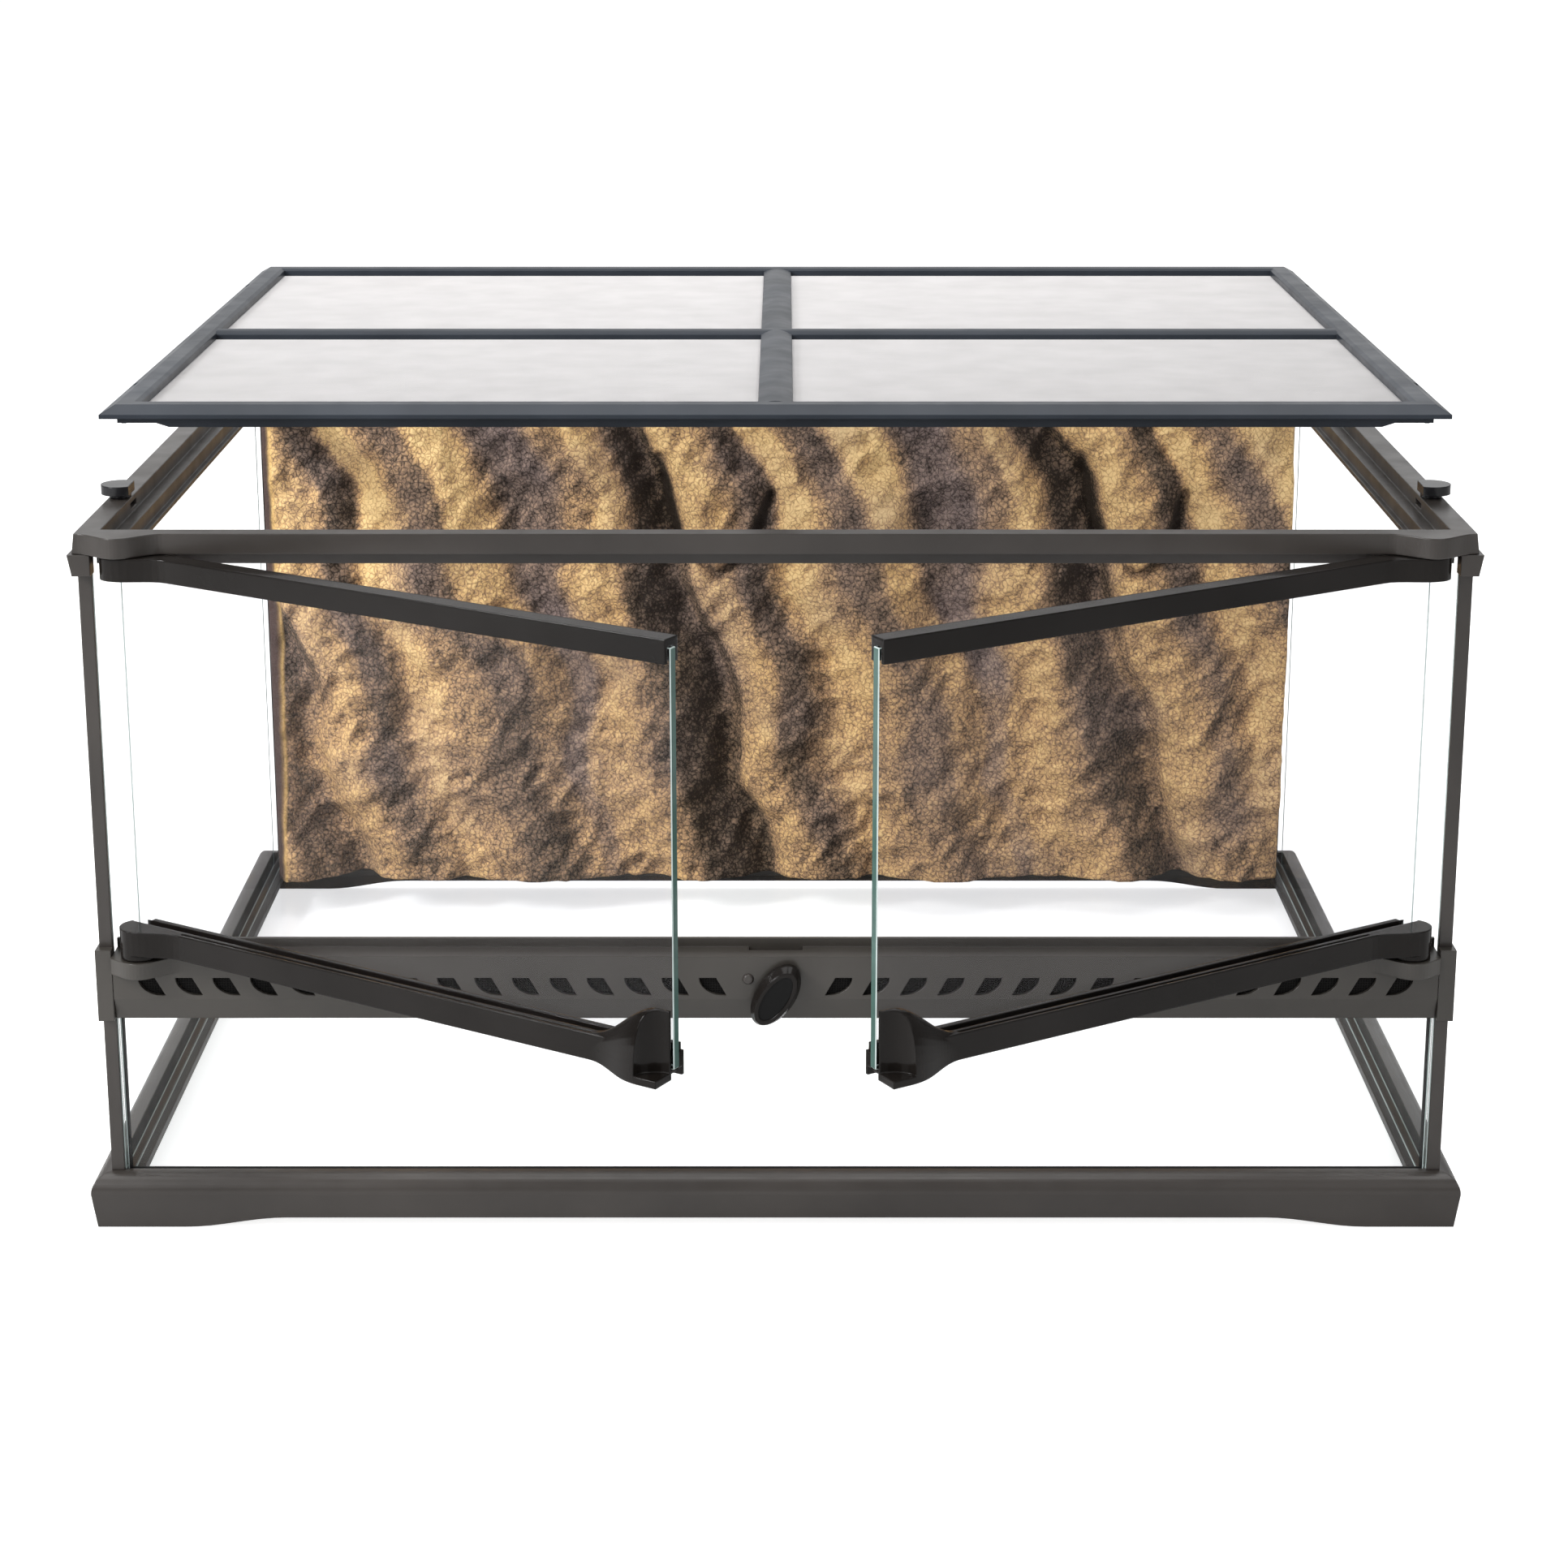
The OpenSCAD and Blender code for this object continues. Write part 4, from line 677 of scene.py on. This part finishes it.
def stretched_screen(node, material):
    """Two layers of straight four-sided wires, at right angles, across a bay."""
    low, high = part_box(node)
    shape = bmesh.new()
    for axis in (0, 1):
        other = 1 - axis
        count = int((high[axis] - low[axis]) / SCREEN_PITCH)
        start = (low[axis] + high[axis] - (count - 1) * SCREEN_PITCH) / 2
        level = low.z + WIRE * (0.6 + axis)
        for k in range(count):
            ends = []
            for end in (low[other], high[other]):
                ring = []
                for out, rise in ((-1, 0), (0, -1), (1, 0), (0, 1)):
                    place = [0, 0, level + rise * WIRE / 2]
                    place[axis] = start + k * SCREEN_PITCH + out * WIRE / 2
                    place[other] = end
                    ring.append(shape.verts.new(place))
                ends.append(ring)
            for a in range(4):
                b = (a + 1) % 4
                corners = (ends[0][a], ends[0][b], ends[1][b], ends[1][a])
                shape.faces.new(corners if axis else corners[::-1])
    screen = add_mesh(node + "_wires", shape, (material,))
    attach(screen, "lid")
    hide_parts(node)


wire = screen_wire()
for row in ("front", "rear"):
    for side in ("left", "right"):
        stretched_screen(f"lid_screen_{row}_{side}", wire)


# Lid locks
# Four D-shaped turn knobs stand on the rim. Each has a finger under it that turns in over the
# lid's edge.

lock_plastic = moulded_plastic("lock_plastic", tone(24, 24, 26), roughness=0.2, grain=0.08,
                               corner=0.0007, specular=0.3)
for row in ("front", "rear"):
    for side in ("left", "right"):
        dress(lock_plastic, f"lock_{row}_{side}")


# Inlet shutters
# Two combs that slide in a groove of the rear rail and close the cable inlets.

dress(case_plastic, "left_inlet_shutter", "right_inlet_shutter")


# Studio
# A white table in a white room, with a large soft light overhead, one at each side of the camera,
# one from the upper left that rakes the rock, and a weak one behind.

TABLE_GLOW = 0.8
TABLE_DROP = 0.0003
ROOM_LIGHT = 0.35
ROOM_GLOW = 0.65


def seen_directly(tree):
    """1 for a ray from the camera or through a clear body, and 0 for light on the object."""
    path = tree.nodes.new("ShaderNodeLightPath")
    return combine(tree, "MAXIMUM", path.outputs["Is Camera Ray"],
                   path.outputs["Is Transmission Ray"])


def white_table():
    material, tree, surface = new_material("white_table")
    surface.inputs["Base Color"].default_value = (0.7, 0.7, 0.7, 1)
    surface.inputs["Roughness"].default_value = 0.9
    surface.inputs["Specular IOR Level"].default_value = 0
    surface.inputs["Emission Color"].default_value = (1, 1, 1, 1)
    tree.links.new(combine(tree, "MULTIPLY", seen_directly(tree), TABLE_GLOW),
                   surface.inputs["Emission Strength"])
    shape = bmesh.new()
    bmesh.ops.create_grid(shape, x_segments=1, y_segments=1, size=12)
    table = add_mesh("table", shape, (material,))
    table.location.z = -TABLE_DROP


def soft_light(name, place, aim, size, power):
    lamp = bpy.data.lights.new(name, "AREA")
    lamp.shape = "SQUARE"
    lamp.size = size
    lamp.energy = power
    light = bpy.data.objects.new(name, lamp)
    light.location = place
    light.rotation_euler = (Vector(aim) - Vector(place)).to_track_quat("-Z", "Y").to_euler()
    bpy.context.scene.collection.objects.link(light)


def white_room():
    world = bpy.data.worlds.new("white_room")
    world.use_nodes = True
    tree = world.node_tree
    background = tree.nodes["Background"]
    background.inputs["Color"].default_value = (1, 1, 1, 1)
    glow = combine(tree, "MULTIPLY", seen_directly(tree), ROOM_GLOW)
    tree.links.new(combine(tree, "ADD", glow, ROOM_LIGHT), background.inputs["Strength"])
    bpy.context.scene.world = world


white_table()
white_room()
soft_light("overhead", (0, 0.1, 2.2), (0, 0, 0.2), size=2.0, power=42)
soft_light("front_left", (-1.5, -1.9, 1.2), (0, 0, 0.15), size=1.2, power=20)
soft_light("front_right", (1.5, -1.9, 1.2), (0, 0, 0.15), size=1.2, power=12)
soft_light("upper_left", (-1.5, -0.9, 1.3), (0, 0.2, 0.15), size=0.5, power=34)
soft_light("backdrop", (0, 2.6, 0.9), (0, 0, 0.2), size=3.0, power=15)

# The photograph's uprights are parallel, as a level camera with a much shifted lens draws them.
# Only a little of that shift is kept, and the camera looks down for the rest, so that the other
# views, which keep the shift, hold the whole object.
CAMERA_PLACE = (0.0037, -1.5505, 0.6228)
SENSOR_WIDTH = 36
CAMERA_DOWN = math.radians(14.51)
CAMERA_SHIFT = -0.1
PHOTO_WIDTH = 1932
FOCAL_PIXELS = 3873
camera = bpy.data.objects.new("camera", bpy.data.cameras.new("camera"))
camera.data.sensor_width = SENSOR_WIDTH
camera.data.lens = SENSOR_WIDTH * FOCAL_PIXELS / PHOTO_WIDTH
camera.data.shift_y = CAMERA_SHIFT
camera.location = CAMERA_PLACE
camera.rotation_euler = (math.radians(90) - CAMERA_DOWN, 0, 0)
bpy.context.scene.collection.objects.link(camera)
bpy.context.scene.camera = camera
bpy.context.scene.view_settings.view_transform = "Standard"
